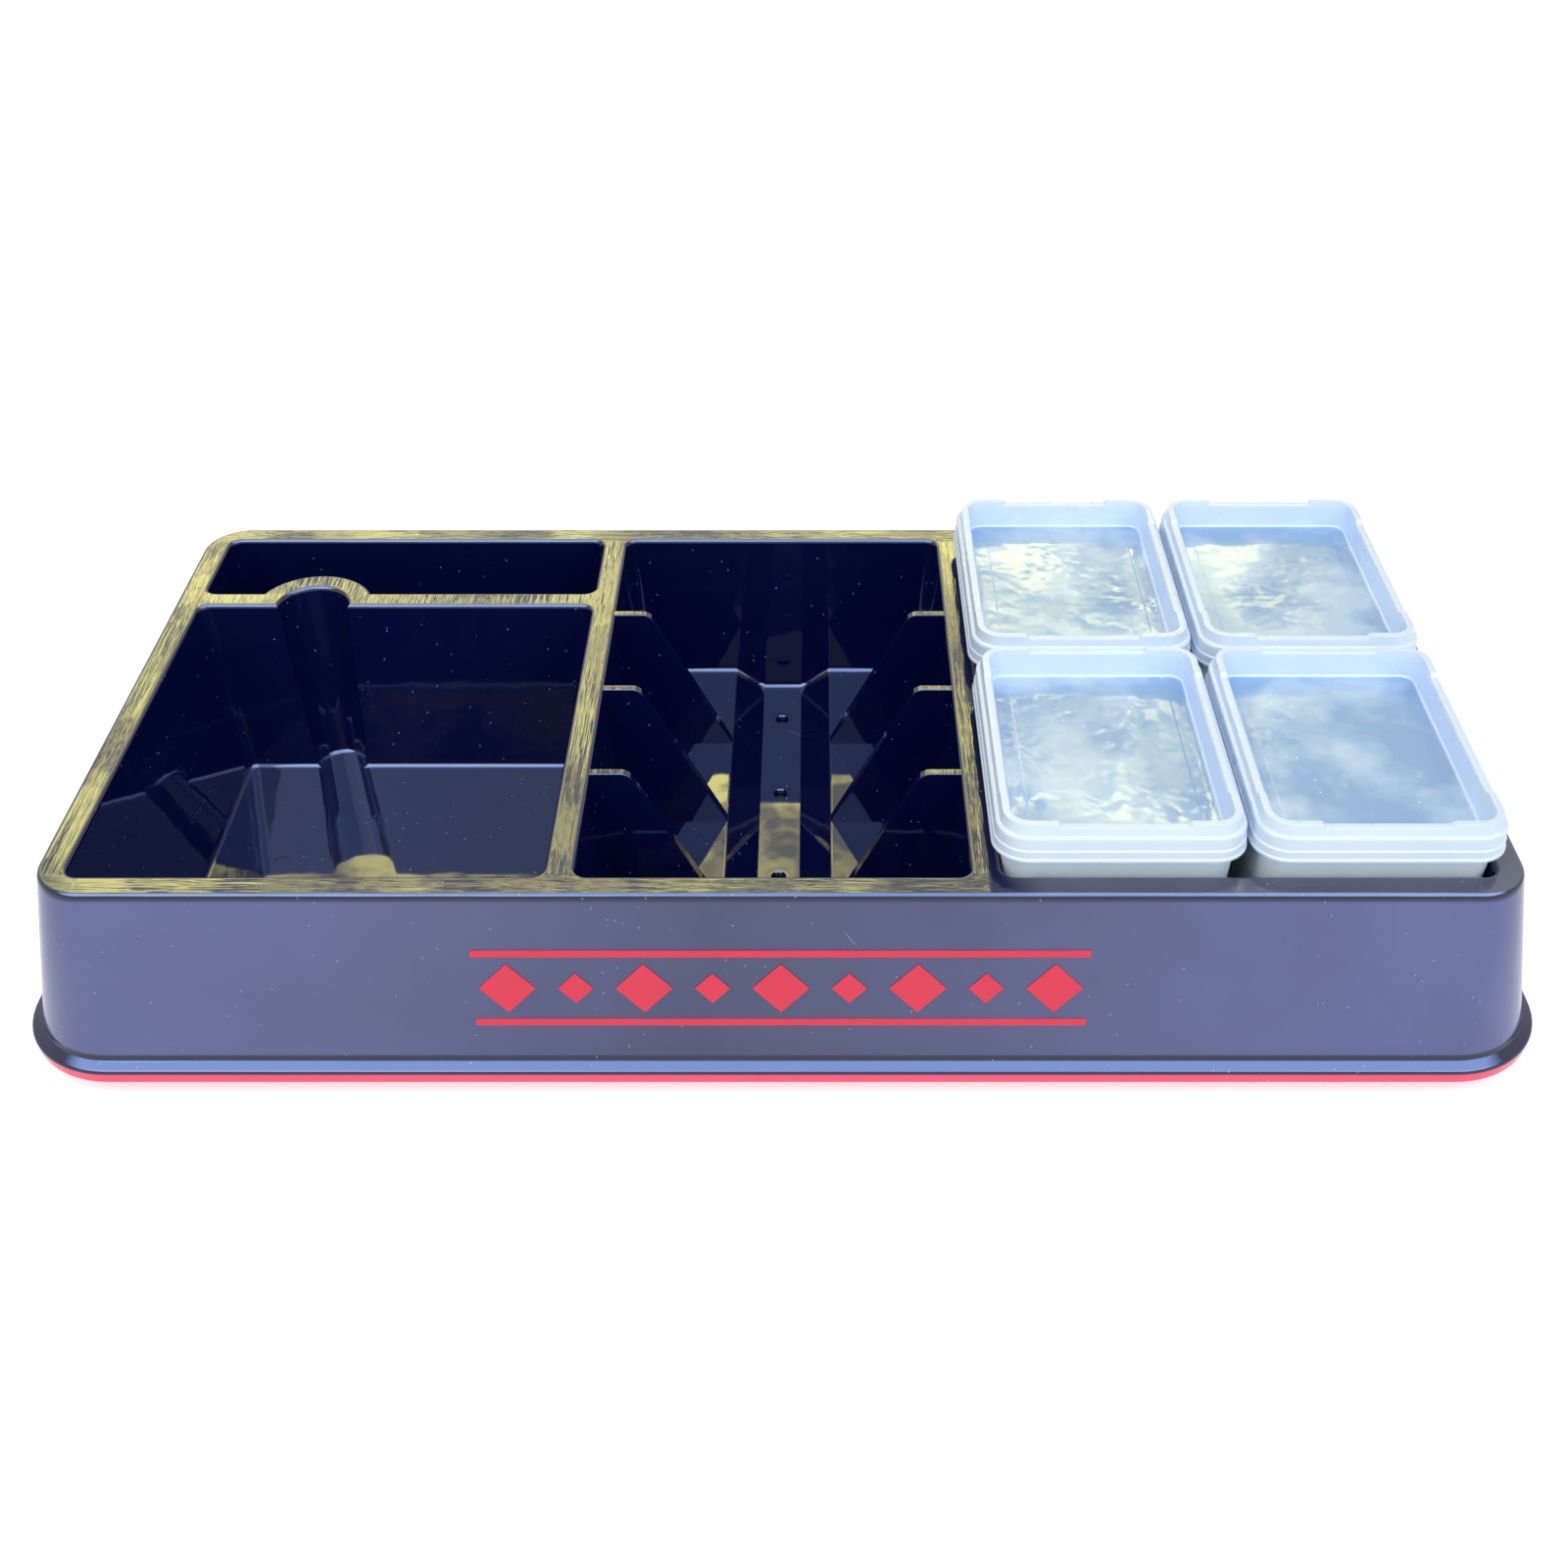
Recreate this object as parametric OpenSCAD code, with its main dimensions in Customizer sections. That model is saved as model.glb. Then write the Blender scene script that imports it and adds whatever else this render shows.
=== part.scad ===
// Bar garnish tray: one moulded tray with a napkin pocket, a straw pocket, a finned
// middle bay and a well that holds four lidded containers, on a screwed-on base.
// Millimetres. The front is -Y, +Z is up, the origin is under the middle on the counter.

/* [Tray body] */
// Length of the tray at the rim
tray_l = 457; // [440:1:480]
// Depth of the tray at the rim, front to back
tray_d = 223.4; // [215:0.2:240]
// Height of the rim above the counter
tray_h = 72; // [68:0.5:84]
// Outer corner radius of the rim
rim_r = 16; // [12:0.5:20]
// Width of the rim round the pockets
rim_w = 9.5; // [8.5:0.1:11]
// How far the outer wall flares out from the rim to its foot
flare = 11.7; // [9:0.1:14]
// Wall thickness of the moulded shell
wall_t = 2.2; // [1.8:0.1:2.6]
// Thickness of the pocket floors
floor_t = 2; // [1.6:0.1:2.4]
// Width of the dividers between the pockets, at the rim
divider_t = 9.4; // [8.5:0.1:11]
// Corner radius of the pockets
pocket_r = 4.2; // [3.5:0.1:5.5]
// Radius of the rounded edges of the rim
rim_round = 1.6; // [1:0.1:2]
// Radius of the rounding where pocket walls meet their floors
floor_round = 2; // [1:0.1:2.5]

/* [Skirt] */
// How far the skirt stands out from the foot of the wall
ledge_w = 4; // [3:0.1:5.5]
// Height of the skirt, from its lower face to the foot of the wall
ledge_h = 2.6; // [2:0.1:3.5]
// Height of the upright lip at the edge of the skirt
ledge_lip = 1.2; // [0.8:0.1:1.8]
// Height of the foot of the outer wall above the pocket floors
foot_rise = 8; // [6:0.5:9]

/* [Napkin and straw pockets] */
// Width of the napkin pocket at the rim
napkin_w = 146.4; // [140:0.2:152]
// Depth of the straw pocket at the rim, front to back
straw_d = 39.1; // [34:0.1:46]
// Draft of the napkin pocket's side walls, from rim to floor
napkin_draft_x = 10; // [6:0.5:12]
// Draft of the napkin pocket's front and back walls, from rim to floor
napkin_draft_y = 12; // [6:0.5:13]
// Draft of the straw pocket's walls, from rim to floor
straw_draft = 4; // [2:0.5:6]
// Distance of the finger recess from the left wall of the napkin pocket, at the rim
recess_x = 42; // [34:0.5:60]
// Radius of the finger recess at the rim
recess_r_top = 13; // [11:0.5:15]
// How far the finger recess leans to the right, from rim to floor
recess_shift = 3.8; // [0:0.2:5]
// Radius of the finger recess at the floor
recess_r_low = 10; // [8:0.5:11]

/* [Middle bay] */
// Width of the middle bay at the rim
bay_w = 121.4; // [114:0.2:128]
// Height of the bay's floor shoulders above the pocket floors
shoulder_h = 7.5; // [5:0.5:10]
// Draft of the bay's side walls, from rim to shoulder
bay_draft_x = 6.2; // [4:0.2:8]
// Draft of the bay's end walls, from rim to shoulder
bay_draft_y = 4.5; // [3:0.5:7]
// Width of the floor channel at the shoulders
channel_top_w = 38.6; // [34:0.2:42]
// Width of the floor channel at its bottom
channel_low_w = 15.2; // [12:0.2:20]
// Number of fins on each side wall
fins = 3; // [2:1:4]
// Distance between the fins
fin_pitch = 49; // [42:0.5:52]
// Length of the flat on top of each fin, from the wall
fin_flat = 12.4; // [8:0.2:16]
// Thickness of the fins at their round tops
fin_t = 3; // [2.6:0.1:4]
// Draft of the fins' sides, in degrees
fin_draft = 1; // [0.5:0.1:2]
// How far the fins' tops lie below the rim
fin_low = 0.4; // [0.3:0.1:1]
// Diameter of the holes that drain the channel into the base
drain_d = 5; // [4:0.1:6]

/* [Containers] */
// Gap between the containers and the side walls of the well, at the rim
well_gap_x = 0.5; // [0.4:0.1:1.5]
// Mean gap between the containers and the end walls of the well, at the rim
well_gap_y = 1.6; // [1.5:0.1:3]
// Corner radius of a lid's skirt
lid_r = 11; // [9:0.5:13]
// Gap between neighbouring lids
lid_gap = 0.8; // [0.6:0.1:1.2]
// Thickness of the lids
lid_t = 1; // [0.8:0.1:1.2]
// Height of a lid's bottom edge above the rim
lid_rise = 6; // [4:0.5:8]
// Height of a lid's skirt
skirt_h = 9.3; // [8.5:0.1:11]
// Height of the raised lip above the skirt
lip_h = 2; // [1.5:0.1:2.5]
// Width of the raised lip
lip_w = 3.2; // [2.8:0.1:3.6]
// Height of the corner pads on the lip
pad_h = 1.1; // [0.8:0.1:1.5]
// Length of each corner pad along the lip, from the corner
pad_l = 19; // [14:0.5:24]
// Depth of the panel below the raised lip
panel_drop = 9; // [7.5:0.1:10]
// Wall thickness of the containers
container_t = 1.1; // [0.9:0.1:1.4]
// Width of the container's edge flange
container_flange = 1.6; // [1.2:0.1:1.8]
// Draft of a container's walls, from edge to foot
container_draft = 4.1; // [3.6:0.1:5]
// Gap between a container's edge flange and the lid's skirt
lid_fit = 0.3; // [0.3:0.05:0.4]
// How far the set of containers stands behind the middle of the well
set_back = 0.7; // [0:0.1:1]
// Gap between parts that rest on each other but lift apart
seat_gap = 0.3; // [0.3:0.05:0.5]

/* [Base] */
// Height of the upright edge of the base
band_h = 3.6; // [3:0.1:5]
// How far the base's edge is set in from the skirt's edge
band_inset = 0.5; // [0.3:0.1:1]
// Width of the base's edge wall, under the skirt
band_w = 4.2; // [3.6:0.1:4.6]
// Thickness of the base plate
plate_t = 2.2; // [2:0.1:2.6]
// How far the feet stand below the base plate
foot_proud = 1.5; // [1:0.1:2.5]
// Diameter of the feet
foot_d = 18; // [12:0.5:22]
// Depth of the seats for the feet in the base plate
foot_seat = 1; // [0.6:0.1:1.2]
// Distance of the feet from the side edges of the tray's rim
foot_in_x = 38; // [30:1:60]
// Distance of the feet from the front and back edges of the tray's rim
foot_in_y = 30; // [24:1:45]
// Gap between the base plate and the pocket floors above it
floor_gap = 0.3; // [0.2:0.1:0.6]

/* [Screws] */
// Diameter of the screw posts inside the shell
post_d = 9; // [7.5:0.1:9]
// Distance of the side posts from the tray's middle, front to back
post_y = 60; // [40:1:75]
// Distance of the front and back posts from the tray's middle, along its length
post_x = 150; // [120:1:180]
// Diameter of the screws
screw_d = 3.4; // [3:0.1:3.6]
// Length of the screws under the head
screw_l = 13; // [10:0.5:18]
// Diameter of the screw heads
head_d = 7; // [6:0.1:7.4]
// Height of the screw heads
head_h = 2; // [1.6:0.1:2.2]
// Clearance round the screws and their heads, across the diameter
screw_play = 0.6; // [0.3:0.1:0.8]

/* [Front ornament] */
// Length of the ornament
ornament_l = 190; // [150:1:220]
// Height of the ornament
ornament_h = 27; // [18:0.5:32]
// Height of the ornament's middle above the counter
ornament_z = 40; // [34:0.5:48]
// Thickness of the ornament
ornament_t = 0.4; // [0.3:0.1:0.8]
// Number of lozenges in the ornament
lozenges = 9; // [5:2:13]
// Height of the two rules that frame the lozenges
rule_h = 2.4; // [1.5:0.1:4]

/* [Hidden] */
$fn = 48;
corner_steps = 6;
cut = 1;

navy = [0.03, 0.03, 0.16];
frost = [0.86, 0.91, 0.95, 0.6];
red = [0.84, 0.1, 0.2];

// Heights from the counter up
plate_z = foot_proud;
plate_top = plate_z + plate_t;
floor_z = plate_top + floor_gap + floor_t;
foot_z = floor_z + foot_rise;
skirt_z = foot_z - ledge_h;
shoulder_z = floor_z + shoulder_h;
lid_z = tray_h + lid_rise;
skirt_top = lid_z + skirt_h;
lip_top = skirt_top + lip_h;
panel_z = lip_top - panel_drop;
container_z = floor_z + seat_gap;
container_top = skirt_top - lid_t - seat_gap;

// Outline at the foot of the wall and at the edge of the skirt
foot_l = tray_l + 2 * flare;
foot_depth = tray_d + 2 * flare;
FOOT = [foot_l, foot_depth, rim_r + flare, foot_z];
RIM = [tray_l, tray_d, rim_r, tray_h];
rim_slope = flare / (tray_h - foot_z);
lean = atan(rim_slope);

// Pockets at the rim, left to right and front to back
inner_x = tray_l / 2 - rim_w;
inner_y = tray_d / 2 - rim_w;
napkin_x = -inner_x + napkin_w / 2;
bay_x = -inner_x + napkin_w + divider_t + bay_w / 2;
well_w = 2 * inner_x - napkin_w - bay_w - 2 * divider_t;
well_x = inner_x - well_w / 2;
napkin_d = 2 * inner_y - straw_d - divider_t;
napkin_y = -inner_y + napkin_d / 2;
straw_y = inner_y - straw_d / 2;
napkin_back = -inner_y + napkin_d;
well_draft = 3;
NAPKIN = [napkin_w, napkin_d];
NAPKIN_DRAFT = [napkin_draft_x, napkin_draft_y];
STRAW = [napkin_w, straw_d];
STRAW_DRAFT = [straw_draft, straw_draft];
BAY = [bay_w, 2 * inner_y];
BAY_DRAFT = [bay_draft_x, bay_draft_y];
WELL = [well_w, 2 * inner_y];
WELL_DRAFT = [well_draft, well_draft];

// Height of the fins' tops
fin_top = tray_h - fin_low;

// Finger recess at the rim, and its bulge in the straw pocket
recess_at = -inner_x + recess_x;
bulge_r = recess_r_top + divider_t;

// Containers: two by two fill the well, with a gap to its walls at the rim's height
container_round = 3;
container_foot = container_z + container_round / 2;
mouth_z = container_top - container_t / 2;
rim_inset = container_draft * (mouth_z - tray_h) / (mouth_z - container_foot);
lid_reach = container_flange + lid_fit + lid_t;
container_l = well_w / 2 - well_gap_x + rim_inset - lid_reach - lid_gap / 2;
container_d = inner_y - well_gap_y + rim_inset - lid_reach - lid_gap / 2;
container_r = lid_r - lid_reach;
lid_l = container_l + 2 * lid_reach;
lid_d = container_d + 2 * lid_reach;
pitch_x = lid_l + lid_gap;
pitch_y = lid_d + lid_gap;

// Lid: the raised lip and the plug that fits inside the container's mouth
plug_gap = 0.7;
plug_l = container_l - 2 * (container_t + plug_gap);
plug_d = container_d - 2 * (container_t + plug_gap);
plug_r = container_r - container_t;
recess_l = plug_l - 2 * lid_t;
recess_d = plug_d - 2 * lid_t;
lid_step = 0.4;
lid_step_z = 4.6;
raised_panel = 0.6;
raised_in_x = 5;
raised_in_y = 7;

// Base
BAND = grown(FOOT, ledge_w - band_inset, skirt_z);
band_z = skirt_z - band_h;
pan_taper = band_z - plate_z;

// Screws: a head in a counterbore, the shank in a post of the shell
head_roof = 0.3;
head_wall = 1.4;
pilot_play = 0.2;
slot_w = 1.1;
slot_h = 1.2;
tip_l = 2;
tip_d = 1;
seat_z = plate_z + head_roof + head_h;
post_z = seat_z + plate_t;
pad_r = head_d / 2 + screw_play / 2 + head_wall;
pilot_d = screw_d + pilot_play;
side_post_x = tray_l / 2 - rim_w / 2;
end_post_y = tray_d / 2 - rim_w / 2;
POSTS = [
    for (sx = [-1, 1], sy = [-1, 1]) [sx * side_post_x, sy * post_y],
    for (sx = [-1, 1], sy = [-1, 1]) [sx * post_x, sy * end_post_y]
];

// Ornament: width of a lozenge in its share of the row, and size of the small ones
lozenge_share = 0.84;
small_lozenge = 0.62;

// A flat rounded rectangle about its middle
module plate_outline(l, d, r) {
    square([l - 2 * r, d], center = true);
    square([l, d - 2 * r], center = true);
    for (sx = [-1, 1], sy = [-1, 1])
        translate([sx * (l / 2 - r), sy * (d / 2 - r)]) circle(r);
}

// An upright rounded block from z0 to z1
module block(l, d, r, z0, z1) {
    translate([0, 0, z0]) linear_extrude(z1 - z0) plate_outline(l, d, r);
}

// Points of a rounded rectangle, given as [length, depth, radius, height]
function ring(s) = [
    for (q = [0 : 3], i = [0 : corner_steps])
        let (
            a = 90 * (q + i / corner_steps),
            sx = q == 0 || q == 3 ? 1 : -1,
            sy = q < 2 ? 1 : -1
        )
        [sx * (s[0] / 2 - s[2]) + s[2] * cos(a), sy * (s[1] / 2 - s[2]) + s[2] * sin(a), s[3]]
];

// Points of a level circle, given as [middle, middle, radius, height]
function round_ring(s) = [
    for (i = [0 : 4 * corner_steps - 1])
        let (a = 90 * i / corner_steps)
        [s[0] + s[2] * cos(a), s[1] + s[2] * sin(a), s[3]]
];

// A closed solid through level rings of points, from the lowest to the highest
module skin(rings) {
    n = len(rings[0]);
    last = len(rings) - 1;
    polyhedron(
        points = [for (r = rings) each r],
        faces = [
            [for (i = [0 : n - 1]) i],
            for (k = [0 : last - 1], i = [0 : n - 1])
                [k * n + i, (k + 1) * n + i, (k + 1) * n + (i + 1) % n, k * n + (i + 1) % n],
            [for (i = [0 : n - 1]) last * n + n - 1 - i]
        ]
    );
}

module loft(sizes) {
    skin([for (s = sizes) ring(s)]);
}

// Rectangle s grown by g on each side, at height z
function grown(s, g, z) = [s[0] + 2 * g, s[1] + 2 * g, s[2] + g, z];

// A pocket's size at height z: rim is its size at the rim, draft how far its walls lean in
function pocket_at(rim, draft, low, z) = let (k = (tray_h - z) / (tray_h - low))
    [rim[0] - 2 * draft[0] * k, rim[1] - 2 * draft[1] * k, pocket_r, z];

// The hollow of a pocket, rounded along its floor and along the rim
module pocket(rim, draft, low) {
    wall_low = pocket_at(rim, draft, low, low + floor_round);
    wall_top = pocket_at(rim, draft, low, tray_h - rim_round);
    loft([
        for (a = [0, 30, 60]) grown(wall_low, -floor_round * (1 - sin(a)),
            low + floor_round * (1 - cos(a))),
        wall_low,
        wall_top,
        for (a = [30, 60, 90]) grown(wall_top, rim_round * (1 - cos(a)),
            tray_h - rim_round * (1 - sin(a))),
        grown(wall_top, rim_round, tray_h + cut)
    ]);
}

// What surrounds a pocket: its walls and floor, as a solid block
module casing(rim, draft, low) {
    top = tray_h - wall_t / 2;
    loft([
        grown(pocket_at(rim, draft, low, low), wall_t, low - floor_t),
        grown(pocket_at(rim, draft, low, top), wall_t, top)
    ]);
}

// The finger recess at height z: a circle that leans with the pocket's back wall
function recess_at_height(z, grow) = let (k = (tray_h - z) / (tray_h - floor_z)) [
    recess_at + recess_shift * k,
    napkin_back - napkin_draft_y * k,
    recess_r_top + (recess_r_low - recess_r_top) * k + grow,
    z
];

// The hollow of the finger recess, rounded along the rim
module finger_recess() {
    skin([
        round_ring(recess_at_height(floor_z, 0)),
        round_ring(recess_at_height(tray_h - rim_round, 0)),
        for (a = [30, 60, 90]) round_ring(recess_at_height(
            tray_h - rim_round * (1 - sin(a)), rim_round * (1 - cos(a)))),
        round_ring(recess_at_height(tray_h + cut, rim_round))
    ]);
}

// What surrounds the finger recess, as a solid block
module recess_casing() {
    skin([
        round_ring(recess_at_height(floor_z - floor_t, wall_t)),
        round_ring(recess_at_height(tray_h - wall_t / 2, wall_t))
    ]);
}

// The bulge of the finger recess in the straw pocket, or its hollow core
module recess_bulge(r, z0, z1) {
    translate([recess_at, napkin_back, z0]) cylinder(h = z1 - z0, r = r);
}

// A fin's outline across it, at distance x from the bay's middle: straight sides that
// lean by its draft, and a round top at height top
function fin_ring(x, top) = let (
    k = tan(fin_draft),
    r0 = fin_t / 2,
    r = (r0 + k * (fin_top - r0 - top)) / (1 - k),
    low = shoulder_z - 2 * floor_t,
    foot = r0 + k * (fin_top - r0 - low)
) [
    [x, foot, low],
    for (a = [0 : 30 : 180]) [x, r * cos(a), top - r + r * sin(a)],
    [x, -foot, low]
];

// One fin on the right side of the middle bay, from its tip below the floor to the wall
module fin() {
    bend = bay_w / 2 - fin_flat;
    tip = channel_top_w / 2;
    past = floor_t / 2 * (bend - tip) / (fin_top - shoulder_z);
    skin([
        fin_ring(tip - past, shoulder_z - floor_t / 2),
        fin_ring(bend, fin_top),
        fin_ring(bay_w / 2 + rim_round + cut, fin_top)
    ]);
}

// The channel along the middle bay's floor, or its casing when grown
module channel(grow, below, above) {
    reach = inner_y - bay_draft_y + grow;
    translate([bay_x, reach, 0])
        rotate([90, 0, 0])
            linear_extrude(2 * reach)
                polygon([
                    [-channel_top_w / 2 - grow, shoulder_z + above],
                    [-channel_top_w / 2 - grow, shoulder_z],
                    [-channel_low_w / 2 - grow, floor_z - below],
                    [channel_low_w / 2 + grow, floor_z - below],
                    [channel_top_w / 2 + grow, shoulder_z],
                    [channel_top_w / 2 + grow, shoulder_z + above]
                ]);
}

// Holes of the channel, midway between the fins
module drain_holes() {
    for (i = [0 : fins])
        translate([bay_x, (i - fins / 2) * fin_pitch, floor_z - floor_t - cut])
            cylinder(h = floor_t + 2 * cut, d = drain_d);
}

module screw_holes(z, h, d) {
    for (p = POSTS) translate([p[0], p[1], z]) cylinder(h = h, d = d);
}

// The outside of the tray with its skirt, as a solid block
module tray_outside() {
    loft([
        grown(FOOT, ledge_w, skirt_z),
        grown(FOOT, ledge_w, skirt_z + ledge_lip / 2),
        grown(FOOT, ledge_w - ledge_lip / 3, skirt_z + ledge_lip),
        grown(FOOT, ledge_w - ledge_lip, skirt_z + ledge_lip * 1.3),
        FOOT,
        grown(RIM, rim_slope * rim_round, tray_h - rim_round),
        for (a = [30, 60, 90]) grown(RIM, -rim_round * (1 - cos(a)), tray_h - rim_round * (1 - sin(a)))
    ]);
}

// The hollow underneath the tray
module tray_underside() {
    under = tray_h - wall_t;
    loft([
        grown(FOOT, -wall_t, skirt_z - cut),
        grown(FOOT, -wall_t, foot_z),
        grown(RIM, rim_slope * wall_t - wall_t, under)
    ]);
}

module tray_shell() {
    color(navy) difference() {
        union() {
            difference() {
                tray_outside();
                tray_underside();
            }
            translate([napkin_x, napkin_y, 0]) casing(NAPKIN, NAPKIN_DRAFT, floor_z);
            difference() {
                translate([napkin_x, straw_y, 0]) casing(STRAW, STRAW_DRAFT, floor_z);
                recess_bulge(bulge_r - wall_t, floor_z - floor_t - cut, tray_h - wall_t);
            }
            translate([bay_x, 0, 0]) casing(BAY, BAY_DRAFT, shoulder_z);
            translate([well_x, 0, 0]) casing(WELL, WELL_DRAFT, floor_z);
            channel(wall_t, floor_t, 0);
            recess_casing();
            screw_holes(post_z, tray_h - wall_t / 2 - post_z, post_d);
        }
        translate([napkin_x, napkin_y, 0]) pocket(NAPKIN, NAPKIN_DRAFT, floor_z);
        difference() {
            translate([napkin_x, straw_y, 0]) pocket(STRAW, STRAW_DRAFT, floor_z);
            recess_bulge(bulge_r, floor_z - floor_t, tray_h + 2 * cut);
        }
        difference() {
            translate([bay_x, 0, 0]) pocket(BAY, BAY_DRAFT, shoulder_z);
            for (i = [0 : fins - 1]) translate([bay_x, (i - (fins - 1) / 2) * fin_pitch, 0]) {
                fin();
                mirror([1, 0, 0]) fin();
            }
        }
        translate([well_x, 0, 0]) pocket(WELL, WELL_DRAFT, floor_z);
        channel(0, 0, cut);
        finger_recess();
        drain_holes();
        screw_holes(post_z - cut, screw_l + cut, pilot_d);
    }
}

module base_pan() {
    color(red) difference() {
        union() {
            difference() {
                loft([grown(BAND, -pan_taper, plate_z), grown(BAND, 0, band_z), BAND]);
                loft([
                    grown(BAND, -pan_taper - band_w, plate_top),
                    grown(BAND, -pan_taper - band_w, band_z),
                    grown(BAND, -band_w, band_z + cut / 2),
                    grown(BAND, -band_w, skirt_z + cut)
                ]);
            }
            screw_holes(plate_top - cut, post_z - plate_top + cut, 2 * pad_r);
        }
        screw_holes(plate_z - cut, seat_z - plate_z + cut, head_d + screw_play);
        screw_holes(plate_z, post_z - plate_z + cut, screw_d + screw_play);
        for (c = [0 : 3])
            translate([foot_x(c), foot_y(c), plate_z - cut]) cylinder(h = foot_seat + cut, d = foot_d);
    }
}

// The screws, drawn as one group: they are all alike
module base_screws() {
    color("silver") for (p = POSTS) translate([p[0], p[1], seat_z]) difference() {
        union() {
            translate([0, 0, -head_h]) cylinder(h = head_h, d = head_d);
            cylinder(h = screw_l - tip_l, d = screw_d);
            translate([0, 0, screw_l - tip_l]) cylinder(h = tip_l, d1 = screw_d, d2 = tip_d);
        }
        for (a = [0, 90])
            rotate([0, 0, a])
                translate([-head_d / 3, -slot_w / 2, -head_h - cut])
                    cube([head_d / 1.5, slot_w, slot_h + cut]);
    }
}

// Rules and lozenges on the leaning front wall
module ornament_outline() {
    step = ornament_l / lozenges;
    wide = step * lozenge_share;
    tall = ornament_h - 4 * rule_h;
    for (side = [-1, 1])
        translate([0, side * (ornament_h - rule_h) / 2])
            square([ornament_l, rule_h], center = true);
    for (i = [0 : lozenges - 1]) {
        big = i % 2 == 0 ? 1 : small_lozenge;
        translate([(i - (lozenges - 1) / 2) * step, 0])
            polygon([
                [-wide / 2 * big, 0], [0, -tall / 2 * big],
                [wide / 2 * big, 0], [0, tall / 2 * big]
            ]);
    }
}

module front_ornament() {
    wall_y = -tray_d / 2 - flare * (tray_h - ornament_z) / (tray_h - foot_z);
    color(red) translate([0, wall_y, ornament_z])
        rotate([90 - lean, 0, 0])
            linear_extrude(ornament_t) ornament_outline();
}

// Corner c: 0 front left, 1 front right, 2 rear left, 3 rear right
function side_x(c) = c % 2 == 0 ? -1 : 1;
function side_y(c) = c < 2 ? -1 : 1;
function foot_x(c) = side_x(c) * (tray_l / 2 - foot_in_x);
function foot_y(c) = side_y(c) * (tray_d / 2 - foot_in_y);
function set_x(c) = well_x + side_x(c) * pitch_x / 2;
function set_y(c) = set_back + side_y(c) * pitch_y / 2;

module foot(c) {
    color([0.08, 0.08, 0.09]) translate([foot_x(c), foot_y(c), 0])
        cylinder(h = plate_z + foot_seat, d = foot_d);
}

module container(c) {
    edge = [container_l, container_d, container_r];
    neck = container_top - container_t;
    color(frost) translate([set_x(c), set_y(c), 0]) difference() {
        union() {
            loft([
                grown(edge, -container_draft - container_round / 2, container_z),
                grown(edge, -container_draft, container_foot),
                grown(edge, 0, mouth_z)
            ]);
            loft([grown(edge, container_flange, neck), grown(edge, container_flange, container_top)]);
        }
        loft([
            grown(edge, -container_draft - container_round, container_z + container_t),
            grown(edge, -container_draft - container_t, container_z + container_round),
            grown(edge, -container_t, neck),
            grown(edge, -container_t, container_top + cut)
        ]);
    }
}

module lid(c) {
    lip_l = recess_l + 2 * lip_w;
    lip_d = recess_d + 2 * lip_w;
    lip_r = plug_r - lid_t + lip_w;
    color(frost) translate([set_x(c), set_y(c), 0]) difference() {
        union() {
            difference() {
                union() {
                    block(lid_l, lid_d, lid_r, lid_z, lid_z + lid_step_z);
                    block(lid_l - 2 * lid_step, lid_d - 2 * lid_step, lid_r - lid_step,
                        lid_z + lid_step_z - cut, skirt_top);
                }
                block(lid_l - 2 * lid_t, lid_d - 2 * lid_t, lid_r - lid_t,
                    lid_z - cut, skirt_top - lid_t);
            }
            block(plug_l, plug_d, plug_r, panel_z - lid_t, skirt_top);
            block(lip_l, lip_d, lip_r, skirt_top - cut / 2, lip_top);
            corner_pads(lip_l, lip_d, lip_r);
        }
        difference() {
            block(recess_l, recess_d, plug_r - lid_t, panel_z, lip_top + pad_h + cut);
            block(recess_l - 2 * raised_in_x, recess_d - 2 * raised_in_y, plug_r - lid_t,
                panel_z - cut, panel_z + raised_panel);
        }
    }
}

// The raised lip is a little higher round each corner
module corner_pads(l, d, r) {
    difference() {
        block(l, d, r, lip_top - cut / 2, lip_top + pad_h);
        translate([-l / 2 + pad_l, -d, lip_top - cut]) cube([l - 2 * pad_l, 2 * d, 2 * cut + pad_h]);
        translate([-l, -d / 2 + pad_l, lip_top - cut]) cube([2 * l, d - 2 * pad_l, 2 * cut + pad_h]);
    }
}

tray_shell();
base_pan();
base_screws();
front_ornament();
foot(0);  // foot_front_left
foot(1);  // foot_front_right
foot(2);  // foot_rear_left
foot(3);  // foot_rear_right
container(0);  // container_front_left
container(1);  // container_front_right
container(2);  // container_rear_left
container(3);  // container_rear_right
lid(0);  // lid_front_left
lid(1);  // lid_front_right
lid(2);  // lid_rear_left
lid(3);  // lid_rear_right
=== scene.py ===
# %% [markdown]
# # A bar garnish tray
# The tray stands on a bar counter. It is one glossy navy moulding with a pocket for
# napkins, a pocket for straws, a middle bay with fins, and a well for four frosted
# containers with lids. A red dish closes it from below.
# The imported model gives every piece's place. Each piece is modelled here as by hand:
# a primitive is added, shaped in edit mode, and finished with modifiers.
# All lengths are in metres, and the front of the tray faces -Y.

import math

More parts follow.
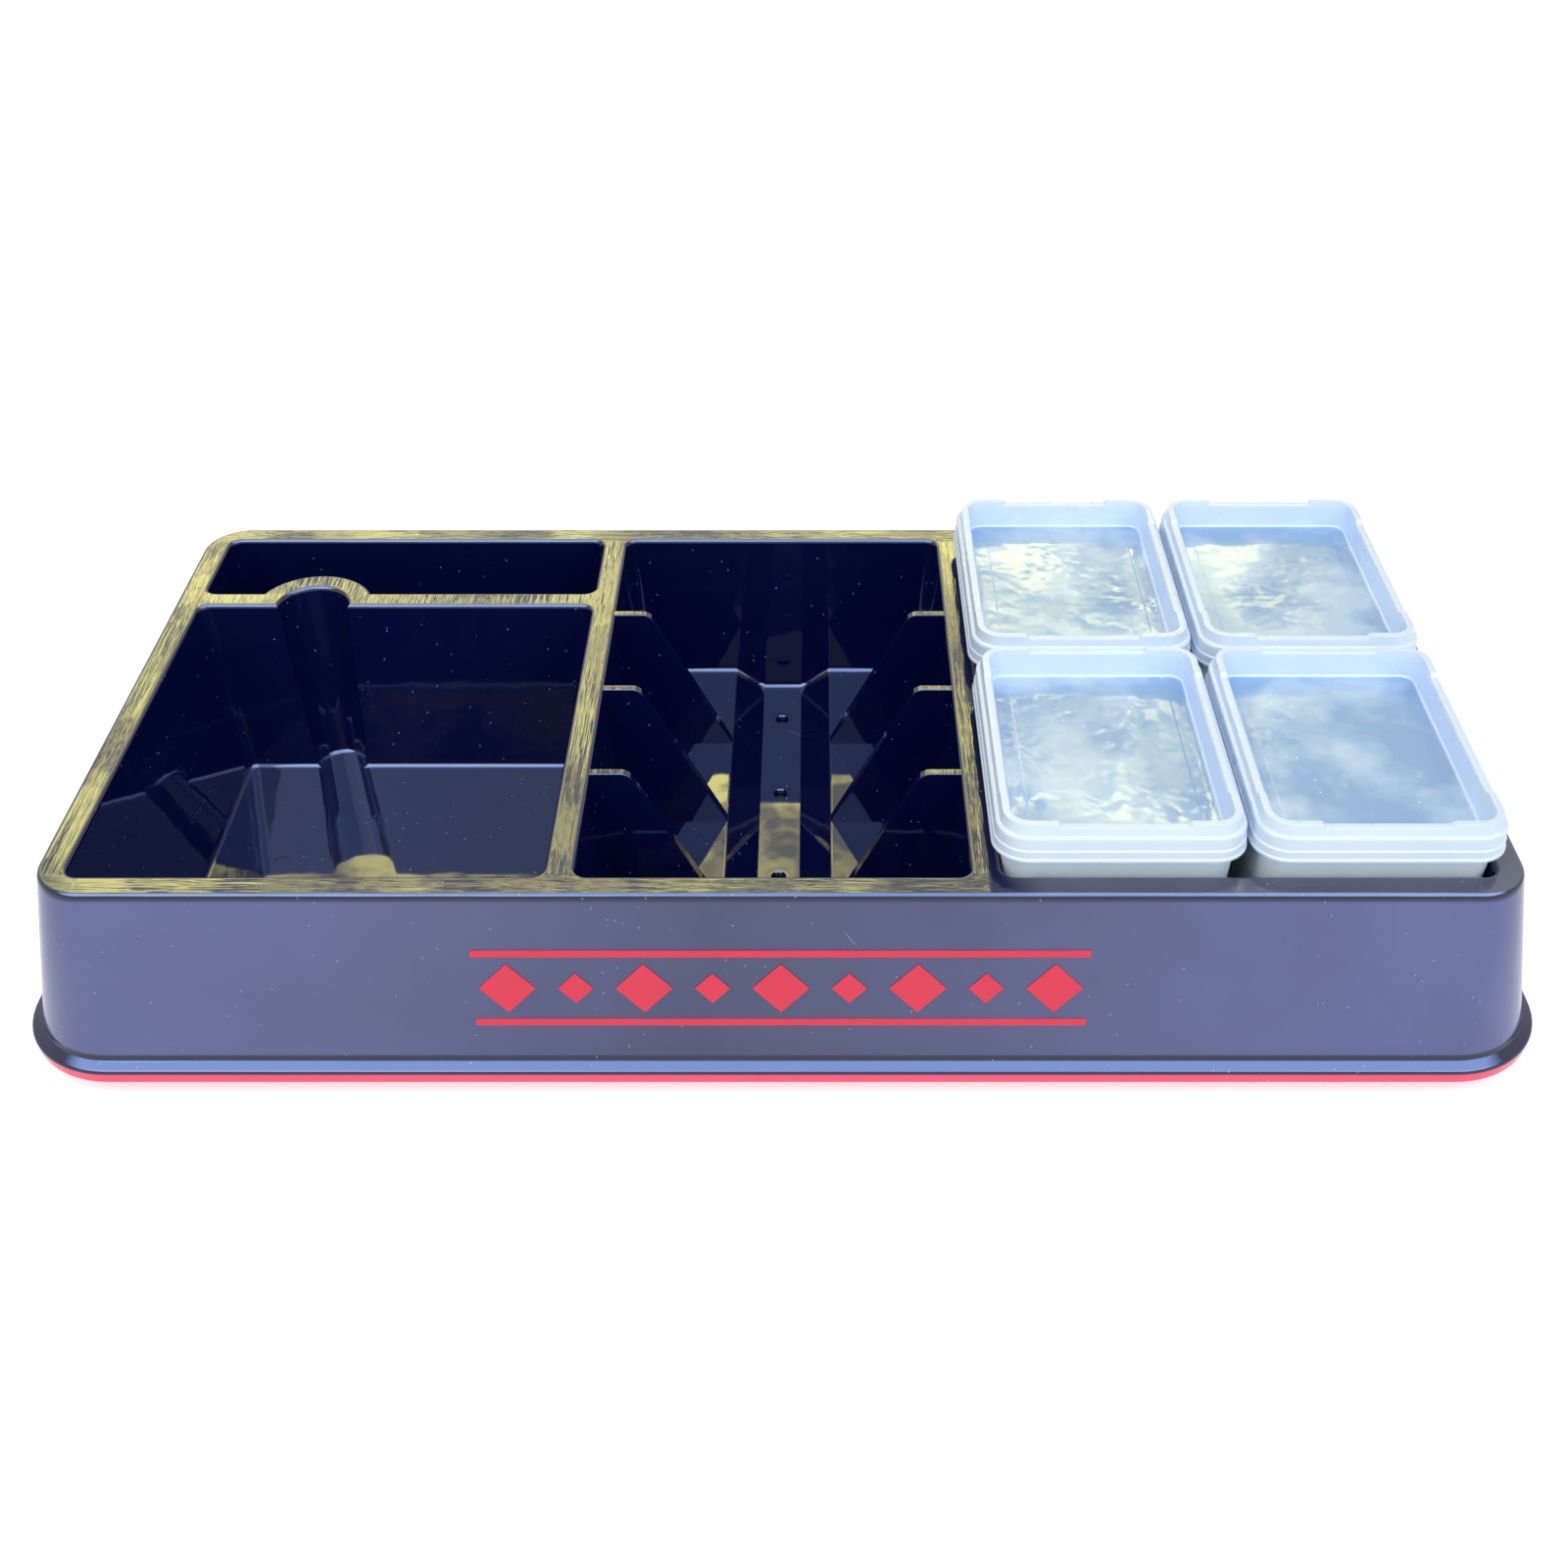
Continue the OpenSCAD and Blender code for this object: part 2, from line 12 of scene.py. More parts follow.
import bmesh
import bpy
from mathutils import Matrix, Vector


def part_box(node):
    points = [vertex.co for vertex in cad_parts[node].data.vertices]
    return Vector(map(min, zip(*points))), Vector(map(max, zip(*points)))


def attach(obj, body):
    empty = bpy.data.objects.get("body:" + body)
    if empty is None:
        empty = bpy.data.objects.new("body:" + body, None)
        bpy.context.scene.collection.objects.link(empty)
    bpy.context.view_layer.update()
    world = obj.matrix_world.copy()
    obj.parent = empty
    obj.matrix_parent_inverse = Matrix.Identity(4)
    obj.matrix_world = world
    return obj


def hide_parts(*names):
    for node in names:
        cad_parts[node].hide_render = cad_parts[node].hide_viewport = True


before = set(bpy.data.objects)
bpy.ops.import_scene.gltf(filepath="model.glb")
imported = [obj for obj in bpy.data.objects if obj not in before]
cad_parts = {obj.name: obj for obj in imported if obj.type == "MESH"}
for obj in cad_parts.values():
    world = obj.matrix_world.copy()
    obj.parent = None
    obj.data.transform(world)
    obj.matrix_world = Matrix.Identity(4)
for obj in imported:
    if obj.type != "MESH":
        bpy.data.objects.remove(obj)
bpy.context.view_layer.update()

# %% [markdown]
# ## The tray's measures
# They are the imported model's own, taken from the same photograph: the rim, the skirt
# round the foot, and the floors of the pockets. The materials use them as well, because
# a finish is often tied to a height, such as the rim's.

# %% Measures of the tray
RIM = 0.072
TRAY_L = 0.457
TRAY_D = 0.2234
RIM_WIDTH = 0.0095
RIM_CORNER = 0.016
FLARE = 0.0117
LEDGE = 0.004
SKIRT_LOW = 0.0114
WALL_FOOT = 0.0148
FLOOR = 0.0061
SHOULDER = 0.0136
EDGE_ROUND = 0.0016
MOUTH_ROUND = 0.0016
FLOOR_ROUND = 0.002
POCKET_CORNER = 0.0042
NAPKIN_W = 0.1464
STRAW_D = 0.0391
DIVIDER = 0.0094
BAY_W = 0.1214
CHANNEL_TOP = 0.0382
CHANNEL_LOW = 0.0151
CORNERS = ("front_left", "front_right", "rear_left", "rear_right")
inner_x = TRAY_L / 2 - RIM_WIDTH
inner_y = TRAY_D / 2 - RIM_WIDTH
napkin_line = inner_y - STRAW_D - DIVIDER
bay_x = -inner_x + NAPKIN_W + DIVIDER + BAY_W / 2
print("the pockets lie within", inner_x, "by", inner_y, "and the bay is at x =", bay_x)

# %% [markdown]
# ## Building materials out of nodes
# A finish is rarely the same all over. Its colour and roughness are sums and products of
# masks, and a mask says where something lies, from 0 to 1. These helpers add one shader
# node each, so that a line of code reads like the sum it stands for.

# %% Helpers for shader nodes
def new_material(name, **constants):
    material = bpy.data.materials.new(name)
    material.use_nodes = True
    shader = material.node_tree.nodes["Principled BSDF"]
    for socket, value in constants.items():
        shader.inputs[socket.replace("_", " ")].default_value = value
    return material, material.node_tree, shader


def add(tree, kind, inputs=None, **settings):
    node = tree.nodes.new(kind)
    for name, value in settings.items():
        setattr(node, name, value)
    for socket, value in (inputs or {}).items():
        if isinstance(value, bpy.types.NodeSocket):
            tree.links.new(value, node.inputs[socket])
        else:
            node.inputs[socket].default_value = value
    return node


def maths(tree, operation, a, b=0.5):
    return add(tree, "ShaderNodeMath", {0: a, 1: b}, operation=operation).outputs[0]


def plus(tree, a, b):
    return maths(tree, "ADD", a, b)


def minus(tree, a, b):
    return maths(tree, "SUBTRACT", a, b)


def times(tree, a, b):
    return maths(tree, "MULTIPLY", a, b)


def either(tree, a, b):
    return maths(tree, "MAXIMUM", a, b)


def size_of(tree, a):
    return maths(tree, "ABSOLUTE", a)


def mix(tree, amount, a, b):
    """Colour a where amount is 0 and colour b where it is 1."""
    node = add(tree, "ShaderNodeMix", {0: amount}, data_type="RGBA")
    for socket, value in ((6, a), (7, b)):
        if isinstance(value, bpy.types.NodeSocket):
            tree.links.new(value, node.inputs[socket])
        else:
            node.inputs[socket].default_value = (*value, 1)
    return node.outputs[2]


print("helpers for nodes are ready")

# %% [markdown]
# ## Masks by place
# A pattern is placed by Object coordinates, which stay with the piece when it moves. A
# `ramp` rises over a short way, because a mask with a hard edge looks cut out, and a
# `band` rises and falls again. `grain` is noise between two values.

# %% Helpers for places
def axes(tree, vector):
    return add(tree, "ShaderNodeSeparateXYZ", {0: vector}).outputs


def object_place(tree):
    return add(tree, "ShaderNodeTexCoord").outputs["Object"]


def facing_axes(tree):
    return axes(tree, add(tree, "ShaderNodeNewGeometry").outputs["Normal"])


def ramp(tree, value, low, high, start=0, end=1):
    inputs = {"Value": value, "From Min": low, "From Max": high, "To Min": start, "To Max": end}
    return add(tree, "ShaderNodeMapRange", inputs, clamp=True).outputs["Result"]


def band(tree, value, low, full_from, full_to, high):
    return times(tree, ramp(tree, value, low, full_from), ramp(tree, value, high, full_to))


def stretch(tree, place, scale, turn=0):
    inputs = {0: place, "Scale": scale, "Rotation": (0, 0, turn)}
    return add(tree, "ShaderNodeMapping", inputs).outputs[0]


def noise(tree, place, scale, detail=3):
    inputs = {"Vector": place, "Scale": scale, "Detail": detail}
    return add(tree, "ShaderNodeTexNoise", inputs).outputs["Fac"]


def grain(tree, place, scale, low, high, detail=3):
    return ramp(tree, noise(tree, place, scale, detail), 0.3, 0.7, low, high)


print("helpers for places are ready")

# %% [markdown]
# ## Dust, hairs and bumps
# Plastic in a bar gathers dust and fibres. `scatter` makes specks: the middles of some
# Voronoi cells. `hairs` stretches flat cells into short bent threads: the cells have two
# dimensions, so each of them shows on a face that lies in their plane. `bumps` tilts the
# light on a surface without moving it, which is enough for waves thinner than a hair.

# %% Helpers for wear
HAIR_CELLS = 42
HAIR_WIDTH = 0.012
HAIR_BEND = 0.008


def scatter(tree, place, scale, size, share, dimensions="3D"):
    inputs = {"Vector": place, "Scale": scale}
    cells = add(tree, "ShaderNodeTexVoronoi", inputs, voronoi_dimensions=dimensions)
    chance = axes(tree, cells.outputs["Color"])[0]
    near = ramp(tree, cells.outputs["Distance"], size, size * 0.5)
    return times(tree, near, maths(tree, "GREATER_THAN", chance, 1 - share))


def hairs(tree, place, turn):
    drift = add(tree, "ShaderNodeTexNoise", {"Vector": place, "Scale": 70, "Detail": 1})
    inputs = {0: drift.outputs["Color"], 1: (HAIR_BEND,) * 3}
    bend = add(tree, "ShaderNodeVectorMath", inputs, operation="MULTIPLY")
    bent = add(tree, "ShaderNodeVectorMath", {0: place, 1: bend.outputs[0]}).outputs[0]
    lying = stretch(tree, stretch(tree, bent, (1, 1, 1), turn), (0.07, 1, 1))
    return scatter(tree, lying, HAIR_CELLS, HAIR_WIDTH, 0.35, "2D")


def bumps(tree, shader, height, depth):
    bump = add(tree, "ShaderNodeBump", {"Height": height, "Distance": depth, "Strength": 1.0})
    tree.links.new(bump.outputs[0], shader.inputs["Normal"])


def coat(tree, shader, colour, rough):
    tree.links.new(colour, shader.inputs["Base Color"])
    tree.links.new(rough, shader.inputs["Roughness"])


print("helpers for wear are ready")

# %% [markdown]
# ## Navy plastic with a high gloss
# The tray is dark navy plastic, polished by its mould. Clean walls are nearly black, and
# what one sees in them is reflection. A thin pale film lies on the outer walls, the rim
# beside the containers and the floors. It is partly dust where hands and napkins touch,
# and partly painted light: it lies on lit faces that look up and on the outer walls, and
# not on the shaded walls inside the pockets. So the film is a mask by height, by which
# way a face looks and by noise. The outer walls are found by their distance from the
# middles of the rim's round corners.

# %% Navy plastic: where the film and its painted light lie
BARE_FILM_AND_LIGHT = 0.012
NAPKIN_FILM_AND_LIGHT = 0.03
CHANNEL_FILM_AND_LIGHT = 0.14
NAPKIN_END = -0.068
navy, tree, shader = new_material("navy_plastic", IOR=1.56)
place = object_place(tree)
x, y, z = axes(tree, place)
facing = facing_axes(tree)
level = ramp(tree, facing[2], 0.75, 0.98)
past_x = either(tree, minus(tree, size_of(tree, x), TRAY_L / 2 - RIM_CORNER), 0)
past_y = either(tree, minus(tree, size_of(tree, y), TRAY_D / 2 - RIM_CORNER), 0)
past = maths(tree, "SQRT", plus(tree, times(tree, past_x, past_x), times(tree, past_y, past_y)))
walls = band(tree, z, WALL_FOOT + 0.0006, WALL_FOOT + 0.0012, RIM - 0.0028, RIM - 0.0016)
outside = times(tree, ramp(tree, past, RIM_CORNER - 0.001, RIM_CORNER), walls)
on_rim = ramp(tree, z, RIM - 0.001, RIM - 0.0003)
# Beside the containers the rim gets the film: partly dust, partly painted light.
rim_haze_and_light = times(tree, on_rim, ramp(tree, x, 0.068, 0.08, 0.1, 1.0))
before_straws = ramp(tree, y, napkin_line + 0.001, napkin_line)
napkin_side = times(tree, ramp(tree, x, NAPKIN_END + 0.002, NAPKIN_END), before_straws)
from_channel = size_of(tree, minus(tree, x, bay_x))
on_channel = ramp(tree, from_channel, CHANNEL_LOW / 2 + 0.00035, CHANNEL_LOW / 2 - 0.00005)
# How much film the floors get: partly dust, partly painted light where light falls.
floors = ramp(tree, napkin_side, 0, 1, BARE_FILM_AND_LIGHT, NAPKIN_FILM_AND_LIGHT)
floors = either(tree, floors, times(tree, on_channel, CHANNEL_FILM_AND_LIGHT))
top = times(tree, level, either(tree, rim_haze_and_light, floors))
# The film mask: dust, and painted light on lit faces and on the outer walls.
film_and_light = times(tree, either(tree, top, outside), grain(tree, place, 20, 0.82, 1.1, 4))
print("the film lies on the outside, the rim and the floors")

# %% [markdown]
# ## Colour and gloss of the navy plastic
# The film is painted paler towards the ends of the tray: painted light, where more light
# falls on it. Hairs lie on level faces and hang on the outer front and back, and dust lies
# everywhere. All of them are rougher than the polish, so they also show in a reflection.

# %% Navy plastic: dust, hairs, painted light and colour
CLEAN_NAVY = (0.0018, 0.0043, 0.042)
# Colours of the film, paler than the clean navy: partly dust, partly painted light.
FILM_AND_LIGHT_MIDDLE = (0.047, 0.06, 0.145)
FILM_AND_LIGHT_ENDS = (0.092, 0.113, 0.29)
FILM_AND_LIGHT_RIM = (0.1, 0.105, 0.15)
PALE_DUST = (0.34, 0.4, 0.55)
hanging = add(tree, "ShaderNodeCombineXYZ", {0: x, 1: z}).outputs[0]
front_or_back = maths(tree, "GREATER_THAN", size_of(tree, facing[1]), 0.6)
lying_hairs = times(tree, either(tree, hairs(tree, place, 0.6), hairs(tree, place, 2.3)), level)
hung_hairs = times(tree, hairs(tree, hanging, 0.9), times(tree, front_or_back, outside))
dust = either(tree, scatter(tree, place, 420, 0.17, 0.08), scatter(tree, place, 190, 0.07, 0.2))
dirt = either(tree, times(tree, either(tree, lying_hairs, hung_hairs), 0.6), dust)
# Painted light: the film is paler towards the ends, where more light falls.
lit_to_the_end = ramp(tree, size_of(tree, x), 0.02, 0.19)
lit_to_the_end = plus(tree, lit_to_the_end, grain(tree, place, 6, -0.15, 0.12, 2))
haze_and_light = mix(tree, lit_to_the_end, FILM_AND_LIGHT_MIDDLE, FILM_AND_LIGHT_ENDS)
haze_and_light = mix(tree, on_rim, haze_and_light, FILM_AND_LIGHT_RIM)
colour = mix(tree, film_and_light, CLEAN_NAVY, haze_and_light)
colour = mix(tree, times(tree, dirt, 0.5), colour, PALE_DUST)
rough = ramp(tree, noise(tree, place, 24), 0.2, 0.8, 0.02, 0.05)
rough = plus(tree, rough, either(tree, times(tree, dirt, 0.3), times(tree, outside, 0.1)))
coat(tree, shader, colour, rough)
print("navy plastic has its colour and gloss")

# %% [markdown]
# ## Waves in the polish
# The mould was polished along the rim, and the plastic has taken its fine waves. They
# break every reflection in the rim into streaks. So the noise is stretched along x on
# the front and back rims and along y on the others. Wide, low waves lie on all faces.

# %% Navy plastic: waves in the polish
STREAK_LONG = 40
STREAK_ACROSS = 600
at_ends = ramp(tree, size_of(tree, y), inner_y - 0.001, inner_y)
along_x = noise(tree, stretch(tree, place, (STREAK_LONG, STREAK_ACROSS, 0)), 1, 2)
along_y = noise(tree, stretch(tree, place, (STREAK_ACROSS, STREAK_LONG, 0)), 1, 2)
streaks = add(tree, "ShaderNodeMix", {0: at_ends, 2: along_y, 3: along_x}).outputs[0]
streaks = times(tree, times(tree, streaks, on_rim), 0.14)
wide_waves = times(tree, noise(tree, place, 42, 2), 0.22)
bumps(tree, shader, plus(tree, streaks, wide_waves), 0.0006)
print("navy plastic has", len(tree.nodes), "nodes")

# %% [markdown]
# ## Red plastic
# The dish under the tray is moulded in red plastic of the same gloss. Its inside is
# painted dark as painted shade, so the holes look black from above. The dark part is a
# mask by height and by faces that look up.

# %% Red plastic
DISH_RED = ((0.92, 0.07, 0.15), (1.0, 0.09, 0.2))
SCRATCHED = (0.95, 0.5, 0.5)
# The colour of the painted shade inside the dish.
INSIDE_SHADE = (0.012, 0.004, 0.006)
red, tree, shader = new_material("red_plastic", IOR=1.5)
place = object_place(tree)
wear = either(tree, scatter(tree, place, 300, 0.15, 0.1), hairs(tree, place, 0.4))
shade = mix(tree, noise(tree, place, 22), *DISH_RED)
shade = mix(tree, times(tree, wear, 0.3), shade, SCRATCHED)
# Painted shade: the inside of the dish, under the drain holes, is darkened.
within = band(tree, axes(tree, place)[2], 0.0034, 0.0036, 0.0070, 0.0072)
painted_shade_inside = times(tree, within, ramp(tree, facing_axes(tree)[2], 0.3, 0.6))
coat(tree, shader, mix(tree, painted_shade_inside, shade, INSIDE_SHADE), grain(tree, place, 60, 0.14, 0.26))
bumps(tree, shader, noise(tree, place, 120), 0.00008)
print("red plastic has", len(tree.nodes), "nodes")

# %% [markdown]
# ## Red print
# The ornament is printed in a flatter red than the dish. Its grain shows only close by.

# %% Red print
PRINT_RED = ((0.66, 0.025, 0.06), (0.76, 0.035, 0.08))
print_red, tree, shader = new_material("print_red", IOR=1.5)
place = object_place(tree)
shade = mix(tree, noise(tree, place, 60), *PRINT_RED)
coat(tree, shader, shade, grain(tree, place, 240, 0.28, 0.4))
bumps(tree, shader, noise(tree, place, 600), 0.00004)
print("red print has", len(tree.nodes), "nodes")

# %% [markdown]
# ## Frosted plastic
# The containers are thin milky plastic: bright and bluish all over. The lid's panel is
# painted darker: painted shade of the hollow behind it, which shows through. The tubs
# under the lids are painted brighter: painted light where the lids and the rim shade them.
# Clear transmission is left out, because it makes thin walls grey and noisy: the colour
# carries the milky look. The panel is polished and everything else is matt. So colour and
# roughness change with the height of the panel. The painted shade in it varies in clouds,
# and ripples show how unevenly such a panel shrinks.

# %% Frosted plastic
PANEL_LOW = 0.0797
PANEL_HIGH = 0.0812
TUB_HIGH = 0.0765
MILK = ((0.62, 0.73, 0.84), (0.73, 0.83, 0.92))
# Painted light: the tubs under the lids are painted brighter than the lids.
TUB_PAINTED_LIGHT = (0.82, 0.94, 1.0)
# Painted shade: the lid's panel is painted darker, for the hollow behind it.
PANEL_PAINTED_SHADE = ((0.27, 0.43, 0.64), (0.5, 0.65, 0.78))
PALE_WEAR = (0.93, 0.96, 0.98)
frosted, tree, shader = new_material("frosted_plastic", IOR=1.49)
place = object_place(tree)
z = axes(tree, place)[2]
level = ramp(tree, size_of(tree, facing_axes(tree)[2]), 0.8, 0.98)
panel = band(tree, z, PANEL_LOW - 0.0002, PANEL_LOW, PANEL_HIGH, PANEL_HIGH + 0.0002)
panel = times(tree, panel, level)
scratches = times(tree, hairs(tree, place, 1.2), level)
wear = either(tree, scratches, scatter(tree, place, 300, 0.15, 0.15))
milk_and_painted_light = mix(tree, noise(tree, place, 30), *MILK)
# Painted light on the tubs below the lids.
milk_and_painted_light = mix(tree, ramp(tree, z, TUB_HIGH + 0.001, TUB_HIGH), milk_and_painted_light, TUB_PAINTED_LIGHT)
# Painted shade in the panel, varied in clouds.
panel_shade = mix(tree, ramp(tree, noise(tree, place, 34, 6), 0.42, 0.6), *PANEL_PAINTED_SHADE)
milk_and_painted_light = mix(tree, panel, milk_and_painted_light, panel_shade)
milk_and_painted_light = mix(tree, times(tree, wear, 0.5), milk_and_painted_light, PALE_WEAR)
rough = minus(tree, grain(tree, place, 55, 0.24, 0.38), times(tree, panel, 0.23))
coat(tree, shader, milk_and_painted_light, plus(tree, rough, times(tree, wear, 0.3)))
bumps(tree, shader, times(tree, noise(tree, place, 34, 3), panel), 0.0007)
print("frosted plastic has", len(tree.nodes), "nodes")

# %% [markdown]
# ## Rubber and steel
# The feet are black rubber with a fine grain. The screws are plain steel, and they keep
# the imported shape, because only their heads show from below.

# %% Rubber and steel
RUBBER_BLACK = ((0.012, 0.012, 0.013), (0.035, 0.035, 0.037))
STEEL_GREY = ((0.42, 0.42, 0.43), (0.62, 0.62, 0.61))
rubber, tree, shader = new_material("foot_rubber")
place = object_place(tree)
shade = mix(tree, noise(tree, place, 140), *RUBBER_BLACK)
coat(tree, shader, shade, grain(tree, place, 300, 0.65, 0.85))
bumps(tree, shader, noise(tree, place, 900), 0.0001)

steel, tree, shader = new_material("screw_steel", Metallic=1)
place = object_place(tree)
shade = mix(tree, noise(tree, place, 500), *STEEL_GREY)
coat(tree, shader, shade, grain(tree, place, 900, 0.25, 0.45))
bumps(tree, shader, noise(tree, place, 2000), 0.00003)
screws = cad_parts["base_screws"]
screws.data.materials.clear()
screws.data.materials.append(steel)
print("screws keep the packed shape and get steel")

# %% [markdown]
# ## Selecting by place
# An operator acts on whatever is selected. So each step starts with nothing selected,
# and then picks corners, edges or faces by where they are. `alone` makes one piece the
# only selected one, and `pick` opens it in edit mode with just the wanted parts on.

# %% Helpers that select
CLOSE = 1e-5


def object_mode():
    if bpy.context.mode != "OBJECT":
        bpy.ops.object.mode_set(mode="OBJECT")


def nothing_selected():
    object_mode()
    bpy.ops.object.select_all(action="DESELECT")


def alone(piece):
    nothing_selected()
    piece.select_set(True)
    bpy.context.view_layer.objects.active = piece


def pick(piece, kind, wanted):
    alone(piece)
    bpy.ops.object.mode_set(mode="EDIT")
    bpy.ops.mesh.select_mode(type=kind)
    bpy.ops.mesh.select_all(action="DESELECT")
    bm = bmesh.from_edit_mesh(piece.data)
    parts = {"VERT": bm.verts, "EDGE": bm.edges, "FACE": bm.faces}[kind]
    found = [part for part in parts if wanted(part)]
    for part in found:
        part.select_set(True)
    bm.select_flush_mode()
    bmesh.update_edit_mesh(piece.data)
    return len(found)


print("helpers that select are ready")

# %% [markdown]
# ## Blocks with round corners
# Nearly everything on this tray is a rectangle with round corners that changes size on
# its way up or down. So `block` adds a cube and bevels its upright edges, and what
# follows shapes its faces.

# %% A block
def upright(edge):
    a, b = (v.co for v in edge.verts)
    return abs(a.z - b.z) > 0.0001


def block(name, middle, size, low, high, corner, steps=10):
    nothing_selected()
    place = (middle[0], middle[1], (low + high) / 2)
    bpy.ops.mesh.primitive_cube_add(size=1, location=place)
    piece = bpy.context.object
    piece.name = name
    piece.scale = (size[0], size[1], high - low)
    bpy.ops.object.transform_apply(location=True, rotation=True, scale=True)
    if corner:
        pick(piece, "EDGE", upright)
        bpy.ops.mesh.bevel(offset=corner, segments=steps, affect="EDGES", clamp_overlap=False)
    object_mode()
    return piece


print("blocks are ready")

# %% [markdown]
# ## Faces drawn in step by step
# `take` chooses a level face. Then `draw` insets it again and again: an inset keeps the
# same distance all round, so the corners stay true arcs. `push` extrudes the face and
# resizes it, for walls that lean more one way than the other. Each of them leaves the new
# face chosen, so a wall with a round edge is one chain of steps, and `quarter` gives the
# steps of a round edge.

# %% Helpers that draw a face in or out
def take(piece, z, up):
    """Chooses the level face at height z that looks up (1) or down (-1)."""
    found = pick(
        piece,
        "FACE",
        lambda f: f.normal.z * up > 0.9 and all(abs(v.co.z - z) < 2 * CLOSE for v in f.verts),
    )
    if not found:
        raise ValueError(f"{piece.name} has no such face at {z}")


def draw(steps):
    for inward, outward in steps:
        bpy.ops.mesh.inset(thickness=inward, depth=outward, use_even_offset=True)


def push(move, resize=(1, 1), about=(0, 0)):
    bpy.ops.mesh.extrude_region_move(TRANSFORM_OT_translate={"value": move})
    place = (about[0] + move[0], about[1] + move[1], 0)
    bpy.ops.transform.resize(value=(resize[0], resize[1], 1), center_override=place)


def quarter(radius, steps=5, start=0, way=1):
    """Steps of a round edge, from a wall that leans by start degrees to level."""
    turns = [math.radians(start + (90 - start) * i / steps) for i in range(steps + 1)]
    return [
        (radius * (math.cos(a) - math.cos(b)), way * radius * (math.sin(b) - math.sin(a)))
        for a, b in zip(turns, turns[1:])
    ]


print("a quarter in five steps:", quarter(1))

# %% [markdown]
# ## The tray's outside
# A mould draws the walls outwards on the way down, by the same amount all round. So
# the outside starts as a thin slab, the skirt at the foot, and is drawn in on its way up:
# a small round lip, the sloping ledge, the leaning wall and the round edge of the rim.
# All corners of the top are then put on one plane, so that cuts can start from it.

# %% Outside of the tray
SLAB = 0.0003
LIP = 0.0011
foot_size = (TRAY_L + 2 * (FLARE + LEDGE), TRAY_D + 2 * (FLARE + LEDGE))
foot_corner = RIM_CORNER + FLARE + LEDGE
lean = math.degrees(math.atan(FLARE / (RIM - WALL_FOOT)))
rise = WALL_FOOT - SKIRT_LOW - SLAB - LIP
run = LEDGE - LIP
wall_up = RIM - WALL_FOOT - EDGE_ROUND * (1 - math.sin(math.radians(lean)))


def set_level(piece, z, near):
    """Puts all corners within near of height z on it."""
    for v in piece.data.vertices:
        if abs(v.co.z - z) < near:
            v.co.z = z


tray = block("tray_body", (0, 0), foot_size, SKIRT_LOW, SKIRT_LOW + SLAB, foot_corner, 18)
take(tray, SKIRT_LOW + SLAB, 1)
draw(quarter(LIP))
draw([(run * 0.72, rise * 0.4), (run * 0.16, rise * 0.12), (run * 0.12, rise * 0.48)])
draw([(0.0002, 0.0006), (FLARE - 0.0002, wall_up - 0.0006)])
draw(quarter(EDGE_ROUND, 6, lean))
object_mode()
set_level(tray, RIM, 2 * CLOSE)
print("the rim lies at", max(v.co.z for v in tray.data.vertices))

# %% [markdown]
# ## The tray's belly
# The moulding reaches down inside the red dish, where nobody looks. A block of plastic
# stands for it, so that the pockets' floors have something to be cut from.

# %% Belly
BELLY_INSET = 0.008
BELLY_LOW = 0.0042
take(tray, SKIRT_LOW, -1)
draw([(BELLY_INSET, 0)])
push((0, 0, BELLY_LOW - SKIRT_LOW))
object_mode()
print("the belly goes down to", min(v.co.z for v in tray.data.vertices))

# %% [markdown]
# ## Hollows
# Each pocket is the shape of what the mould's core fills: wide at the mouth with a
# round edge, walls that lean in, and a rounded foot. It is made upside down, from the
# mouth downwards, and then cut out of the tray with a Boolean modifier. The napkin
# pocket is the first.

# %% Napkin pocket
NAPKIN_DRAFT = (0.01, 0.012)
ABOVE = 0.003


def carve(piece, tool, operation="DIFFERENCE"):
    alone(piece)
    cut = piece.modifiers.new("cut", "BOOLEAN")
    cut.operation = operation
    cut.solver = "EXACT"
    cut.object = tool
    bpy.ops.object.modifier_apply(modifier=cut.name)
    bpy.data.objects.remove(tool)


def core(name, middle, mouth, draft, round_foot=True):
    wide = (mouth[0] + 2 * MOUTH_ROUND, mouth[1] + 2 * MOUTH_ROUND)
    piece = block(name, middle, wide, RIM, RIM + ABOVE, POCKET_CORNER + MOUTH_ROUND)
    depth = RIM - FLOOR
    fall = depth - MOUTH_ROUND - FLOOR_ROUND
    narrow = [1 - 2 * lean_in * fall / depth / side for lean_in, side in zip(draft, mouth)]
    take(piece, RIM, -1)
    draw(quarter(MOUTH_ROUND)[::-1])
    push((0, 0, -fall), narrow, middle)
    draw(quarter(FLOOR_ROUND) if round_foot else [(CLOSE, FLOOR_ROUND)])
    object_mode()
    set_level(piece, RIM, 0.2 * CLOSE)
    set_level(piece, FLOOR, CLOSE)
    return piece


napkin_d = napkin_line + inner_y
napkin_mid = (-inner_x + NAPKIN_W / 2, napkin_line - napkin_d / 2)
carve(tray, core("napkin_core", napkin_mid, (NAPKIN_W, napkin_d), NAPKIN_DRAFT))
print("the napkin pocket is", NAPKIN_W, "by", napkin_d)

# %% [markdown]
# ## The finger recess
# A half round runs down the back wall, so that fingers can reach behind the napkins.
# It is a cone that leans with the wall: `disc` adds a cylinder, and its lower face is
# pushed down, forwards and a little to the right.

# %% Finger recess
RECESS_TOP = 0.013
RECESS_LOW = 0.010
RECESS_LEAN = (0.0038, -0.0116)


